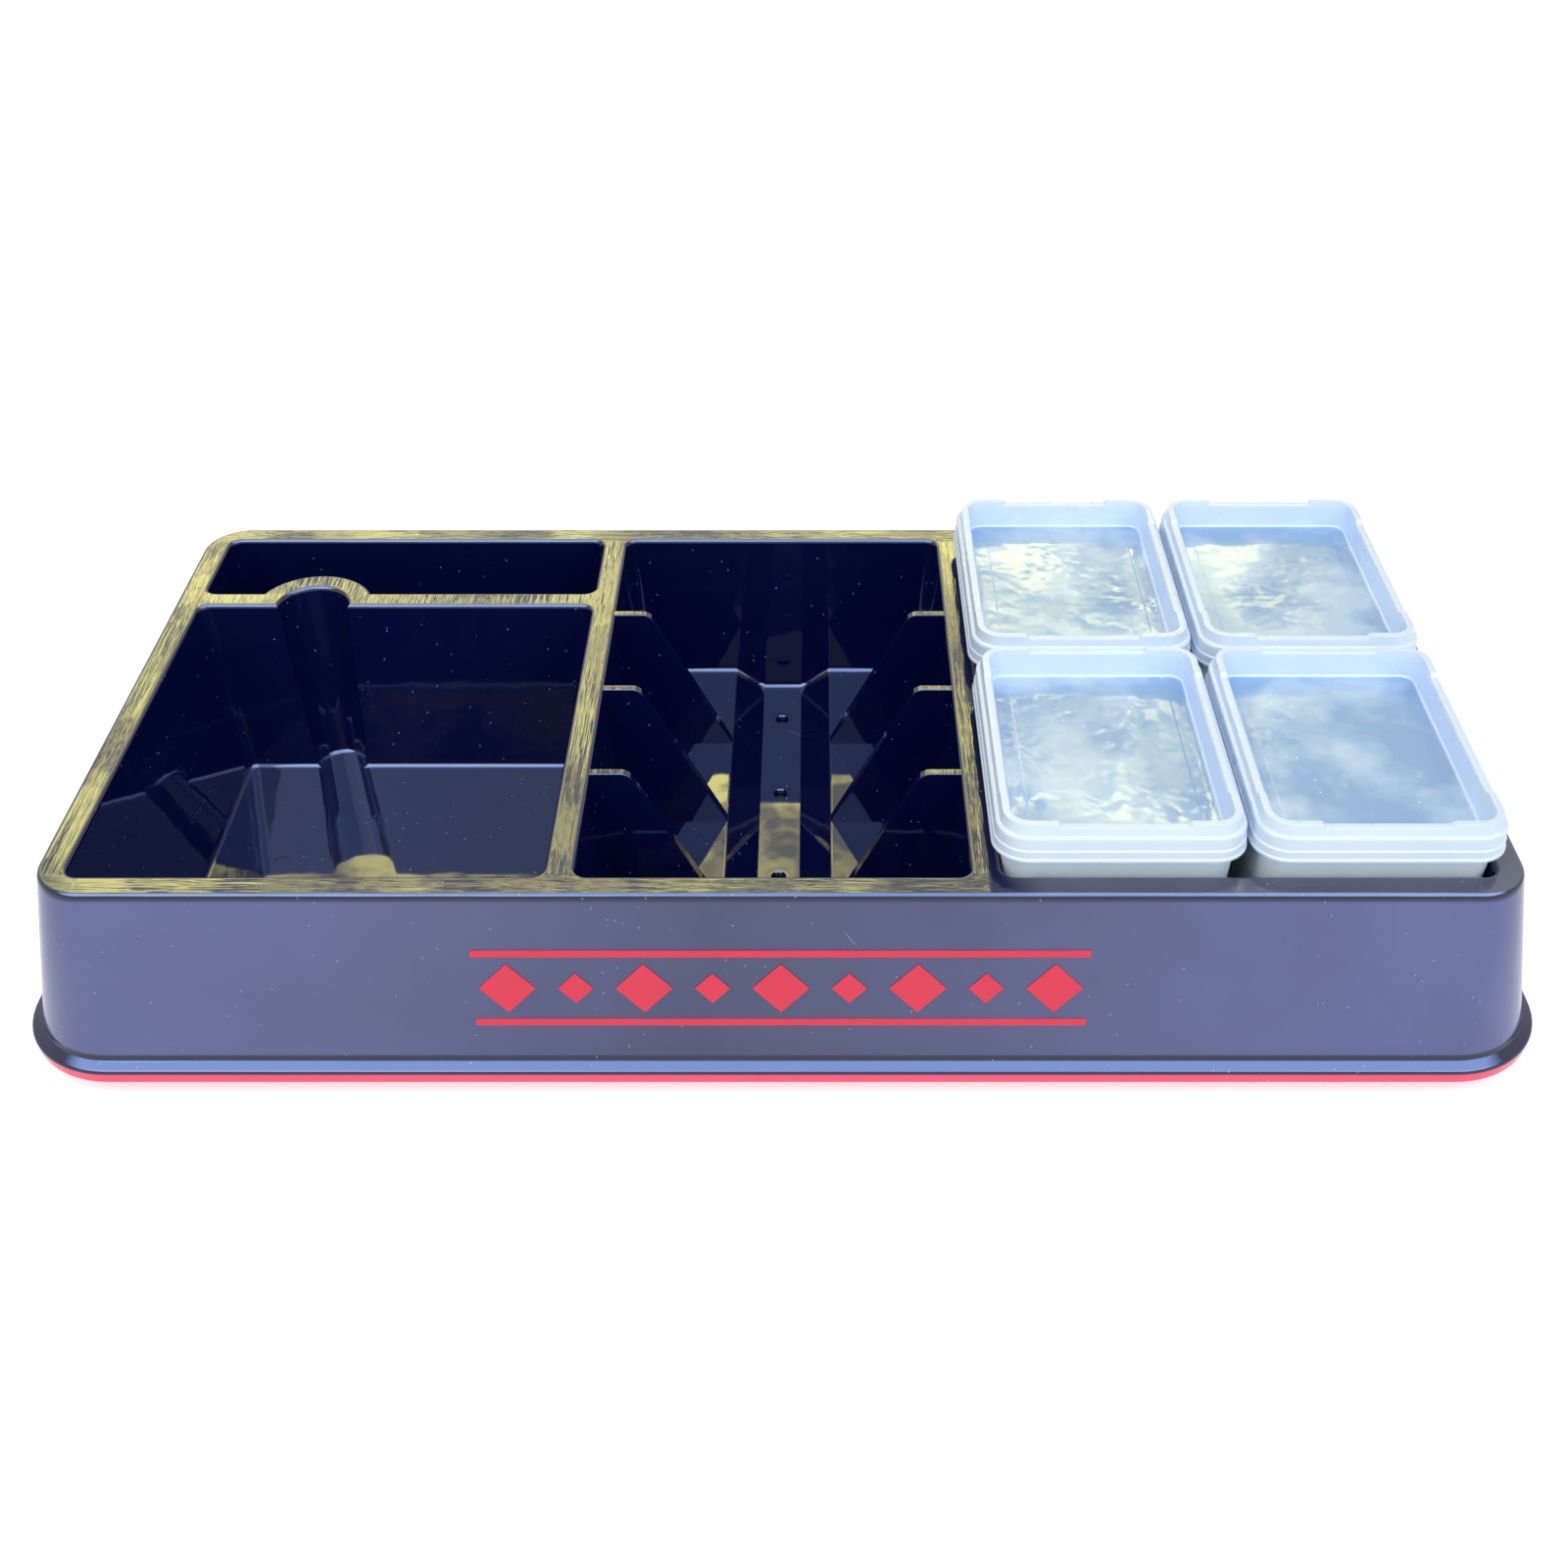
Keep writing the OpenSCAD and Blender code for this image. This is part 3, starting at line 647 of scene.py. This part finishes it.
def disc(name, middle, radius, low, high, sides):
    nothing_selected()
    place = (middle[0], middle[1], (low + high) / 2)
    bpy.ops.mesh.primitive_cylinder_add(
        vertices=sides, radius=radius, depth=high - low, location=place
    )
    piece = bpy.context.object
    piece.name = name
    bpy.ops.object.transform_apply(location=True, rotation=True, scale=True)
    return piece


recess_mid = (-inner_x + 0.042, napkin_line)
recess = disc("recess", recess_mid, RECESS_TOP + MOUTH_ROUND, RIM, RIM + ABOVE, 64)
narrow = RECESS_LOW / RECESS_TOP
take(recess, RIM, -1)
draw(quarter(MOUTH_ROUND)[::-1])
fall = RIM - FLOOR - MOUTH_ROUND - FLOOR_ROUND
push((*RECESS_LEAN, -fall), (narrow, narrow), recess_mid)
draw(quarter(FLOOR_ROUND))
object_mode()
set_level(recess, RIM, 0.2 * CLOSE)
set_level(recess, FLOOR, CLOSE)
carve(tray, recess)
print("the recess is at", recess_mid)

# %% [markdown]
# ## The straw pocket
# Behind the recess, the outside of its wall shows as a round bulge in this narrow pocket,
# because a moulding has the same thickness everywhere. So the pocket's core gets the
# bulge cut out of it before the core itself is cut out of the tray.

# %% Straw pocket, round the bulge
STRAW_DRAFT = (0.004, 0.004)
straw_mid = (napkin_mid[0], inner_y - STRAW_D / 2)
straw = core("straw_core", straw_mid, (NAPKIN_W, STRAW_D), STRAW_DRAFT)
bulge = RECESS_TOP + DIVIDER
column = disc("bulge", recess_mid, bulge, FLOOR - 0.01, RIM - MOUTH_ROUND, 96)
take(column, RIM - MOUTH_ROUND, 1)
draw(quarter(MOUTH_ROUND))
push((0, 0, 2 * ABOVE))
object_mode()
carve(straw, column)
carve(tray, straw)
print("the bulge has a radius of", bulge)

# %% [markdown]
# ## Marks of the ejector pins
# Three round marks show on the napkin pocket's floor, where pins pushed the moulding
# out of its mould. Each is a disc a sixth of a millimetre deep, cut with a thin cylinder.

# %% Pin marks
PIN_RADIUS = 0.0031
PIN_DEPTH = 0.00016
PIN_SPOTS = ((-0.2026, 0.0318), (-0.1688, 0.0128), (-0.1835, -0.0167))
for spot in PIN_SPOTS:
    carve(tray, disc("pin", spot, PIN_RADIUS, FLOOR - PIN_DEPTH, FLOOR + 0.002, 32))
print(len(PIN_SPOTS), "pin marks")

# %% [markdown]
# ## The middle bay and its channel
# The bay's floor has two shoulders, and a channel with sloping sides between them. So
# the bay's core first goes down to the channel's floor all over, and then two long
# blocks are cut from it, which leave the shoulders in the tray. Each block's upper edge
# is rounded, because moulded edges are never sharp.

# %% Bay core with its shoulders
BAY_DRAFT = (0.0062, 0.0045)
HALF_REACH = 0.08
REACH_ALONG = 0.3
SHOULDER_ROUND = 0.0006
UNDER = 0.002
deeper = (RIM - FLOOR) / (RIM - SHOULDER)
bay_draft = [amount * deeper for amount in BAY_DRAFT]
bay = core("bay_core", (bay_x, 0), (BAY_W, 2 * inner_y), bay_draft, round_foot=False)
run = (CHANNEL_TOP - CHANNEL_LOW) / 2
width = HALF_REACH - CHANNEL_TOP / 2
slid = run * (SHOULDER - FLOOR + UNDER) / (SHOULDER - FLOOR)
for side in (-1, 1):
    ledge_mid = (bay_x + side * (HALF_REACH - width / 2), 0)
    ledge = block("shoulder", ledge_mid, (width, REACH_ALONG), FLOOR - UNDER, SHOULDER, 0)
    inner = bay_x + side * CHANNEL_TOP / 2
    pick(ledge, "VERT", lambda v: abs(v.co.x - inner) < CLOSE and v.co.z < FLOOR)
    bpy.ops.transform.translate(value=(-side * slid, 0, 0))
    pick(
        ledge,
        "EDGE",
        lambda e: all(v.co.z > FLOOR and abs(v.co.x - inner) < CLOSE for v in e.verts),
    )
    bpy.ops.mesh.bevel(offset=SHOULDER_ROUND, segments=2, affect="EDGES")
    object_mode()
    carve(bay, ledge)
print("the channel is", CHANNEL_TOP, "wide at the shoulders and", CHANNEL_LOW, "at its floor")

# %% [markdown]
# ## The rounded foot of the bay
# Walls meet the floor along one line that steps down into the channel and up again. The
# whole line is bevelled at once, so that the round foot follows the channel's shape.

# %% Rounded foot
def foot_edge(edge):
    slants = sorted(abs(f.normal.z) for f in edge.link_faces)
    if len(slants) != 2 or slants[0] >= 0.3 or slants[1] <= 0.6:
        return False
    return all(v.co.z < RIM - 0.02 for v in edge.verts)


found = pick(bay, "EDGE", foot_edge)
bpy.ops.mesh.bevel(offset=FLOOR_ROUND, segments=5, affect="EDGES", clamp_overlap=False)
object_mode()
print(found, "edges along the bay's foot are rounded")

# %% [markdown]
# ## Fins
# Three pairs of fins hold cups apart. A fin has a short level top and then slopes down
# to the floor, its sides lean by a degree, and its top is fully round. One is modelled
# from a block: its top is narrowed, its inner end is pushed out and lowered to a point,
# and the edges along its back are bevelled.

# %% One fin
SHOULDER_HALF = 0.0191
FIN_TOP = RIM - 0.0004
FIN_FLAT = 0.0124
FIN_FOOT_T = 0.0052
FIN_TOP_SHARE = 0.58
FIN_TIP_SHARE = 1.6
BEND_ROUND = 0.0024
BACK_ROUND = 0.00142
bend = BAY_W / 2 - FIN_FLAT
below = 0.003
slope = (bend - SHOULDER_HALF) / (FIN_TOP - SHOULDER)
reach = BAY_W / 2 + 0.004
fin_mid = (bay_x + (bend + reach) / 2, 0)
fin = block("fin", fin_mid, (reach - bend, FIN_FOOT_T), SHOULDER - below, FIN_TOP, 0)
pick(fin, "VERT", lambda v: v.co.z > RIM - 0.01)
bpy.ops.transform.resize(value=(1, FIN_TOP_SHARE, 1), center_override=(bay_x, 0, 0))
pick(fin, "FACE", lambda f: f.normal.x < -0.9)
push((SHOULDER_HALF - bend - slope * below * 0.5, 0, 0))
object_mode()
for v in fin.data.vertices:
    if v.co.x < bay_x + SHOULDER_HALF + 0.001 and v.co.z > SHOULDER:
        v.co.z = SHOULDER - below * 0.5
        v.co.y *= FIN_TIP_SHARE
print("a fin reaches from", bend, "to", SHOULDER_HALF, "from the bay's middle")

# %% Its round edges
def bend_edge(edge):
    return all(
        v.co.z > FIN_TOP - CLOSE and abs(v.co.x - bay_x - bend) < CLOSE for v in edge.verts
    )


def back_edge(edge):
    a, b = (v.co for v in edge.verts)
    return min(a.z, b.z) > SHOULDER - below * 0.6 and abs(a.y - b.y) < 0.0015


pick(fin, "EDGE", bend_edge)
bpy.ops.mesh.bevel(offset=BEND_ROUND, segments=4, affect="EDGES")
pick(fin, "EDGE", back_edge)
bpy.ops.mesh.bevel(offset=BACK_ROUND, segments=5, affect="EDGES", clamp_overlap=True)
object_mode()
print("a fin has", len(fin.data.polygons), "faces")

# %% [markdown]
# ## Six fins
# The fin is copied three times for the right side. The left side's copies are mirrored,
# which turns a mesh inside out, so their normals are worked out again. All six are taken
# out of the bay's core, so they stay in the tray when the core is cut from it.

# %% Six fins
FIN_PITCH = 0.049


def copy_of(piece, name, shift):
    alone(piece)
    bpy.ops.object.duplicate(linked=False)
    twin = bpy.context.object
    twin.name = name
    pick(twin, "VERT", lambda v: True)
    bpy.ops.transform.translate(value=shift)
    object_mode()
    return twin


def join(pieces, name):
    alone(pieces[0])
    for other in pieces[1:]:
        other.select_set(True)
    bpy.ops.object.join()
    bpy.context.object.name = name
    return bpy.context.object


fins = []
for row in (-1, 0, 1):
    right = copy_of(fin, f"fin_right_{row + 2}", (0, row * FIN_PITCH, 0))
    left = copy_of(fin, f"fin_left_{row + 2}", (0, row * FIN_PITCH, 0))
    pick(left, "VERT", lambda v: True)
    bpy.ops.transform.resize(value=(-1, 1, 1), center_override=(bay_x, 0, 0))
    bpy.ops.mesh.select_all(action="SELECT")
    bpy.ops.mesh.normals_make_consistent(inside=False)
    object_mode()
    fins += [right, left]
bpy.data.objects.remove(fin)
carve(bay, join(fins, "fins"))
carve(tray, bay)
print("the bay is cut, with", len(fins), "fins left in it")

# %% [markdown]
# ## Drain holes
# Four holes run along the channel. Each has a shallow ring round its mouth, so its core
# is a wide low disc that is drawn in and then pushed through the floor.

# %% Drain holes
HOLES = 4
HOLE = 0.0025
RING = 0.0021
RING_DEPTH = 0.00012
for i in range(HOLES):
    spot = (bay_x, (i - (HOLES - 1) / 2) * FIN_PITCH)
    hole = disc("hole", spot, HOLE + RING, FLOOR - RING_DEPTH, FLOOR + 0.003, 40)
    take(hole, FLOOR - RING_DEPTH, -1)
    draw([(RING - 0.0003, 0), (0.0003, 0.0003)])
    push((0, 0, -0.006))
    object_mode()
    carve(tray, hole)
print(HOLES, "holes along x =", bay_x)

# %% [markdown]
# ## The well
# The containers stand in a plain pocket with steep walls, which takes up the rest of the
# tray. It is one more core.

# %% Well for the containers
WELL_DRAFT = (0.003, 0.003)
well_w = 2 * inner_x - NAPKIN_W - BAY_W - 2 * DIVIDER
carve(tray, core("well_core", (inner_x - well_w / 2, 0), (well_w, 2 * inner_y), WELL_DRAFT))
print("the well is", well_w, "wide")

# %% [markdown]
# ## Shading, and a place in the model
# Rounded edges shade smoothly, and large flat faces stay flat beside them: that is what
# weighted normals do. Then the piece rides on its body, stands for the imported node, and
# gets its slot and its material.

# %% The finished tray
SMOOTH_ANGLE = 32


def smooth(piece):
    alone(piece)
    bpy.ops.object.shade_smooth_by_angle(angle=math.radians(SMOOTH_ANGLE))
    even = piece.modifiers.new("even", "WEIGHTED_NORMAL")
    even.keep_sharp = True
    even.weight = 80
    bpy.ops.object.modifier_apply(modifier=even.name)


def dress(piece, body, node, material):
    smooth(piece)
    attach(piece, body)
    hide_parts(node)
    piece.data.materials.clear()
    piece.data.materials.append(material)
    print(piece.name, "has", len(piece.data.polygons), "faces")


dress(tray, "tray", "tray_shell", navy)

# %% [markdown]
# ## The red dish under the tray
# Only its upright edge shows under the skirt. Below it slopes in to the plate that the
# feet sit in. Inside, it is hollow. It is one chain of steps downwards from a flat ring,
# and another one upwards for the hollow.

# %% Base
BAND_LOW = 0.0078
BAND_HIGH = SKIRT_LOW - 0.0001
BAND_INSET = 0.0005
BAND_WALL = 0.0042
PLATE = 0.0015
PLATE_TOP = 0.0037
slant = BAND_LOW - PLATE
base_size = [side - 2 * BAND_INSET for side in foot_size]
base = block("base_dish", (0, 0), base_size, BAND_LOW, BAND_HIGH, foot_corner - BAND_INSET, 18)
soft = quarter(0.0008, 3, 45)
soft_in = sum(step[0] for step in soft)
soft_down = sum(step[1] for step in soft)
take(base, BAND_LOW, -1)
draw([(0.0002, 0.0004), (slant - 0.0002 - soft_in, slant - 0.0004 - soft_down)] + soft)
take(base, BAND_HIGH, 1)
draw([(BAND_WALL, 0), (0.0001, BAND_LOW - BAND_HIGH), (slant, PLATE_TOP - BAND_LOW)])
object_mode()
print("the dish goes down to", min(v.co.z for v in base.data.vertices))

# %% [markdown]
# ## Holes in the dish
# From below one also sees eight counterbores for screws and four seats for feet. A
# pillar is added inside the dish for each screw, and the holes are cut as cylinders.

# %% Counterbores and seats
HEAD_SEAT = 0.0038
HEAD_HOLE = 0.0038
SCREW_HOLE = 0.002
FOOT_RADIUS = 0.009
posts = [(x, y) for x in (-0.22375, 0.22375) for y in (-0.06, 0.06)]
posts += [(x, y) for x in (-0.15, 0.15) for y in (-0.10695, 0.10695)]
for spot in posts:
    pillar = disc("pillar", spot, HEAD_HOLE + 0.0014, PLATE_TOP - 0.001, HEAD_SEAT + 0.0022, 36)
    carve(base, pillar, "UNION")
    carve(base, disc("bore", spot, HEAD_HOLE, -0.001, HEAD_SEAT, 36))
    carve(base, disc("shank", spot, SCREW_HOLE, HEAD_SEAT - 0.001, 0.008, 24))
seats = [(x, y) for x in (-0.1905, 0.1905) for y in (-0.0817, 0.0817)]
for spot in seats:
    carve(base, disc("seat", spot, FOOT_RADIUS, -0.001, PLATE + 0.001, 48))
dress(base, "tray", "base_pan", red)

# %% [markdown]
# ## Rubber feet
# Four discs with a rounded rim and a slightly hollow underside sit in the dish.

# %% Feet
FOOT_EDGE = 0.0004


def plan(node):
    """The middle and the size of a node's box, seen from above."""
    low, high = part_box(node)
    middle = ((low[0] + high[0]) / 2, (low[1] + high[1]) / 2)
    return middle, (high[0] - low[0], high[1] - low[1]), low[2], high[2]


def foot(node):
    middle, size, low, high = plan(node)
    piece = disc(node + "_rubber", middle, size[0] / 2, low + FOOT_EDGE, high, 48)
    take(piece, low + FOOT_EDGE, -1)
    draw(quarter(FOOT_EDGE, 3) + [(0.0022, 0), (0.0004, -0.0003)])
    object_mode()
    dress(piece, "tray", node, rubber)


for corner in CORNERS:
    foot("foot_" + corner)

# %% [markdown]
# ## A plain ornament on the front
# Lozenges between two rules, in red, lie on the leaning front wall. Each is a cylinder
# with four sides, big and small in turn, and a rule is a thin block. They are made lying
# down, and then the whole is turned to the wall's lean.

# %% Ornament
ORNAMENT_L = 0.190
ORNAMENT_H = 0.027
ORNAMENT_Z = 0.040
RULE = 0.0024
THICK = 0.0004
COUNT = 9
parts = []
for side in (-1, 1):
    rule_mid = (0, side * (ORNAMENT_H - RULE) / 2)
    parts.append(block(f"rule_{side + 2}", rule_mid, (ORNAMENT_L, RULE), 0, THICK, 0.0004, 3))
step = ORNAMENT_L / COUNT
tall = ORNAMENT_H - 4 * RULE
for i in range(COUNT):
    big = 1 if i % 2 == 0 else 0.62
    spot = ((i - (COUNT - 1) / 2) * step, 0)
    lozenge = disc(f"lozenge_{i}", (0, 0), 0.5, 0, THICK, 4)
    pick(lozenge, "VERT", lambda v: True)
    bpy.ops.transform.resize(value=(step * 0.84 * big, tall * big, 1), center_override=(0, 0, 0))
    bpy.ops.transform.translate(value=(*spot, 0))
    object_mode()
    parts.append(lozenge)
ornament = join(parts, "front_lozenges")
pick(ornament, "EDGE", lambda e: all(abs(v.co.z - THICK) < CLOSE for v in e.verts))
bpy.ops.mesh.bevel(offset=0.00015, segments=2, affect="EDGES")
bpy.ops.mesh.select_all(action="SELECT")
turn = math.radians(lean - 90)
bpy.ops.transform.rotate(value=turn, orient_axis="X", center_override=(0, 0, 0))
wall_y = -TRAY_D / 2 - FLARE * (RIM - ORNAMENT_Z) / (RIM - WALL_FOOT)
bpy.ops.transform.translate(value=(0, wall_y + 0.0001, ORNAMENT_Z))
object_mode()
dress(ornament, "tray", "front_ornament", print_red)

# %% [markdown]
# ## Containers
# A thin tub that narrows towards its foot, with a flange round its mouth that the lid
# closes over. It is drawn up from the foot and then down again on the inside, in one
# chain of steps, so that the wall has its real thickness.

# %% One container
WALL = 0.0011
CONTAINER_DRAFT = 0.0041
CONTAINER_CORNER = 0.0072
FLANGE = 0.0016
FOOT_ROUND = 0.002
FLANGE_ROUND = 0.0003


def container(node):
    middle, size, low, high = plan(node)
    mouth = [side - 2 * FLANGE for side in size]
    foot = [side - 2 * CONTAINER_DRAFT for side in mouth]
    start = low + FOOT_ROUND
    neck = high - WALL
    piece = block(node + "_tub", middle, foot, start, start + 0.001, CONTAINER_CORNER)
    take(piece, start, -1)
    draw(quarter(FOOT_ROUND, 4))
    take(piece, start + 0.001, 1)
    push((0, 0, neck - start - 0.001), [m / f for m, f in zip(mouth, foot)], middle)
    push((0, 0, 0.0001), [(m + 2 * FLANGE) / m for m in mouth], middle)
    push((0, 0, WALL - 0.0001 - FLANGE_ROUND))
    draw(quarter(FLANGE_ROUND, 2))
    draw([(FLANGE + WALL - 2 * FLANGE_ROUND, 0)])
    draw(quarter(FLANGE_ROUND, 2, 0, -1)[::-1])
    inside = [(f - 2 * WALL) / (m - 2 * WALL) for f, m in zip(foot, mouth)]
    push((0, 0, low + WALL + FOOT_ROUND - high + FLANGE_ROUND), inside, middle)
    draw(quarter(FOOT_ROUND - 0.0005, 4, 0, -1) + [(0.001, -0.0005)])
    object_mode()
    dress(piece, node + "_body", node, frosted)


print("a container's wall is", WALL, "thick")

# %% [markdown]
# ## A lid's profile
# A lid has a skirt with two fine steps, a shoulder, a raised lip and, inside the lip, a
# sunk panel with a low raised field. Underneath, a groove takes the container's flange,
# and a plug hangs inside its mouth.

# %% One lid
PAD_HEIGHT = 0.0011
PANEL_DEPTH = 0.009
LID_CORNER = 0.011
LID_SLAB = 0.0006
SKIRT_WALL = 0.001
GROOVE = 0.0037
GROOVE_DEPTH = 0.0083
PLUG = 0.007


def lid_steps(climb):
    """From the bead at the bottom up to the top of the lip, and down to the panel."""
    skirt = [(0.00025, 0.0004), (0.00015, 0.0001), (0, 0.0026), (0.0004, 0.0004)]
    skirt.append((0.00005, 0.0036))
    shoulder = [(0.00015, 0.0005), (0.0003, 0.0003), (0.0008, 0.0002)]
    left = climb - LID_SLAB - sum(step[1] for step in skirt + shoulder)
    lip = [(0.0003, left * 0.65), (0.0004, left * 0.28), (0.0004, left * 0.07)]
    inner = [(0.0016, 0), (0.0003, -0.0001), (0.0003, -0.0003), (0.0003, -0.0012)]
    wall = [(0.0004, 0.0026 - PANEL_DEPTH), (0.0002, -0.0005), (0.0004, -0.0003)]
    wall.append((0.0006, -0.0002))
    return skirt + shoulder + lip + inner + wall


def lid_body(node):
    middle, size, low, high = plan(node)
    piece = block(node + "_cap", middle, size, low, low + LID_SLAB, LID_CORNER, 12)
    take(piece, low + LID_SLAB, 1)
    draw(lid_steps(high - PAD_HEIGHT - low))
    field = [(side - 0.022) / (side - 0.012) for side in size]
    push((0, 0, 0), field, middle)
    draw([(0.0002, 0.0001), (0.0004, 0.0001)])
    take(piece, low, -1)
    draw([(SKIRT_WALL, 0), (CLOSE, -GROOVE_DEPTH), (GROOVE, 0), (CLOSE, PLUG)])
    object_mode()
    return piece


print("the panel lies", PANEL_DEPTH, "below the lip")

# %% [markdown]
# ## Corner pads on the lids
# The lip is higher round each corner, with sloping ends. Two cuts across the mesh near
# each end of a side give the places where the slopes start and end. Then the corners of
# the mesh beyond them are raised. Cuts are exact, where a bevel would round the ends.

# %% Pads, then all containers and lids
PAD_LENGTH = 0.019
PAD_SLOPE = 0.0014


def cut_across(piece, axis, at):
    plane = [0, 0, 0]
    normal = [0, 0, 0]
    plane[axis] = at
    normal[axis] = 1
    pick(piece, "FACE", lambda f: True)
    bpy.ops.mesh.bisect(plane_co=plane, plane_no=normal)


def lid(node):
    piece = lid_body(node)
    middle, size, low, high = plan(node)
    for axis in (0, 1):
        for side in (-1, 1):
            for back in (PAD_LENGTH, PAD_LENGTH + PAD_SLOPE):
                cut_across(piece, axis, middle[axis] + side * (size[axis] / 2 - back))
    near = [side / 2 - PAD_LENGTH - CLOSE for side in size]

    def in_corner(v):
        off = [abs(v.co[axis] - middle[axis]) for axis in (0, 1)]
        on_lip = v.co.z > high - PAD_HEIGHT - 0.0003
        return on_lip and off[0] > near[0] and off[1] > near[1]

    found = pick(piece, "VERT", in_corner)
    bpy.ops.transform.translate(value=(0, 0, PAD_HEIGHT))
    object_mode()
    print(node, "has", found, "corners of its mesh raised into pads")
    dress(piece, node + "_body", node, frosted)


for corner in CORNERS:
    container("container_" + corner)
    lid("lid_" + corner)

# %% [markdown]
# ## Floor
# The tray stands on a white floor in a plain studio. The camera and reflections see it as
# nearly white, because it glows for their rays only, and its matt part still keeps the
# tray's shadow.

# %% Floor
FLOOR_SIZE = 40
FLOOR_GLOW = 0.5
nothing_selected()
bpy.ops.mesh.primitive_plane_add(size=FLOOR_SIZE, location=(0, 0, 0))
floor = bpy.context.object
floor.name = "floor"
pale = bpy.data.materials.new("pale_floor")
pale.use_nodes = True
tree = pale.node_tree
tree.nodes.clear()


def seen_directly(tree, rays):
    """1 for rays from the camera and for those that a surface mirrors or lets through."""
    mirrored = either(tree, rays["Is Glossy Ray"], rays["Is Transmission Ray"])
    return either(tree, rays["Is Camera Ray"], mirrored)


rays = add(tree, "ShaderNodeLightPath").outputs
matt = add(tree, "ShaderNodeBsdfDiffuse", {"Color": (0.8, 0.8, 0.81, 1)})
glow_power = times(tree, seen_directly(tree, rays), FLOOR_GLOW)
glow = add(tree, "ShaderNodeEmission", {"Color": (1, 1, 1, 1), "Strength": glow_power})
both = add(tree, "ShaderNodeAddShader", {0: matt.outputs[0], 1: glow.outputs[0]})
add(tree, "ShaderNodeOutputMaterial", {"Surface": both.outputs[0]})
floor.data.materials.append(pale)
print("the floor is", FLOOR_SIZE, "metres wide")

# %% [markdown]
# ## Sky
# The camera sees a white sky, and it lights the object evenly. Glossy plastic also needs
# something to reflect. Overhead it meets a wide pale-blue softbox, which draws the thin
# bright lines along every round edge. Low behind the tray it meets a warm golden glow,
# broken up as by leaves, which colours the level rim and the bay's floor. Both are masks
# by direction, and only mirrored rays see them.

# %% Sky: where the softbox and the glow are
world = bpy.data.worlds.new("studio")
bpy.context.scene.world = world
world.use_nodes = True
tree = world.node_tree
tree.nodes.clear()
way = add(tree, "ShaderNodeTexCoord").outputs["Generated"]
east, north, up = axes(tree, way)
overhead = ramp(tree, plus(tree, up, times(tree, north, -0.25)), 0.72, 0.82)
aside = maths(tree, "DIVIDE", east, either(tree, north, 0.05))
glow = times(tree, band(tree, aside, -1.3, -0.9, 0.24, 0.36), ramp(tree, north, 0.05, 0.15))
glow = times(tree, glow, band(tree, up, 0.38, 0.46, 0.72, 0.78))
leaves = ramp(tree, noise(tree, way, 24, 4), 0.44, 0.64, 0.1, 2.5)
glow = times(tree, glow, leaves)
print("the sky has a softbox overhead and a warm glow behind")

# %% Sky: how bright they are
SKY_LIGHT = 0.55
SOFTBOX_POWER = 6.5
SOFTBOX_BLUE = (0.5, 0.8, 1.7, 1)
GLOW_POWER = 3.3
GLOW_GOLD = (1, 0.93, 0.24, 1)


def light(colour, strength):
    inputs = {"Color": colour, "Strength": strength}
    return add(tree, "ShaderNodeBackground", inputs).outputs[0]


rays = add(tree, "ShaderNodeLightPath").outputs
mirrored = rays["Is Glossy Ray"]
plain = light((1, 1, 1, 1), ramp(tree, seen_directly(tree, rays), 0, 1, SKY_LIGHT, 1.0))
softbox = light(SOFTBOX_BLUE, times(tree, times(tree, overhead, mirrored), SOFTBOX_POWER))
warm = light(GLOW_GOLD, times(tree, times(tree, glow, mirrored), GLOW_POWER))
sky = add(tree, "ShaderNodeAddShader", {0: plain, 1: softbox}).outputs[0]
sky = add(tree, "ShaderNodeAddShader", {0: sky, 1: warm}).outputs[0]
add(tree, "ShaderNodeOutputWorld", {"Surface": sky})
print("the sky has", len(tree.nodes), "nodes")

# %% [markdown]
# ## Lamps
# Two large soft lamps light the object from the front left and the front right. A lamp
# shines along its own -Z, so its Z axis is turned away from what it aims at.

# %% Lamps
AIM = Vector((0, 0, 0.05))


def lamp(name, place, side, power, colour):
    area = bpy.data.lights.new(name, "AREA")
    area.shape = "SQUARE"
    area.size = side
    area.energy = power
    area.color = colour
    holder = bpy.data.objects.new(name, area)
    bpy.context.scene.collection.objects.link(holder)
    holder.location = place
    holder.rotation_euler = (Vector(place) - AIM).to_track_quat("Z", "Y").to_euler()
    print(name, "shines with", power, "watts")


lamp("key", (-0.7, -0.9, 1.3), 1.2, 12, (1, 0.98, 0.96))
lamp("fill", (0.9, -0.8, 1.0), 1.0, 8, (0.88, 0.93, 1))

# %% [markdown]
# ## Camera
# The photograph's camera looks down at the tray from the front. Its place, tilt and lens
# were fitted to the rim, the pockets and the holes, so that the render can be laid over
# the photograph.

# %% Camera
TILT = 52.72
eye = bpy.data.cameras.new("camera")
eye.lens = 41.73
eye.sensor_width = 36
eye.shift_x = -0.0181
eye.clip_start = 0.01
camera = bpy.data.objects.new("camera", eye)
bpy.context.scene.collection.objects.link(camera)
camera.location = (0.0097, -TRAY_D / 2 - 0.41455, RIM + 0.3578)
camera.rotation_euler = (math.radians(TILT), 0, 0)
bpy.context.scene.camera = camera
bpy.context.scene.view_settings.view_transform = "Standard"
print("the camera is at", tuple(camera.location))
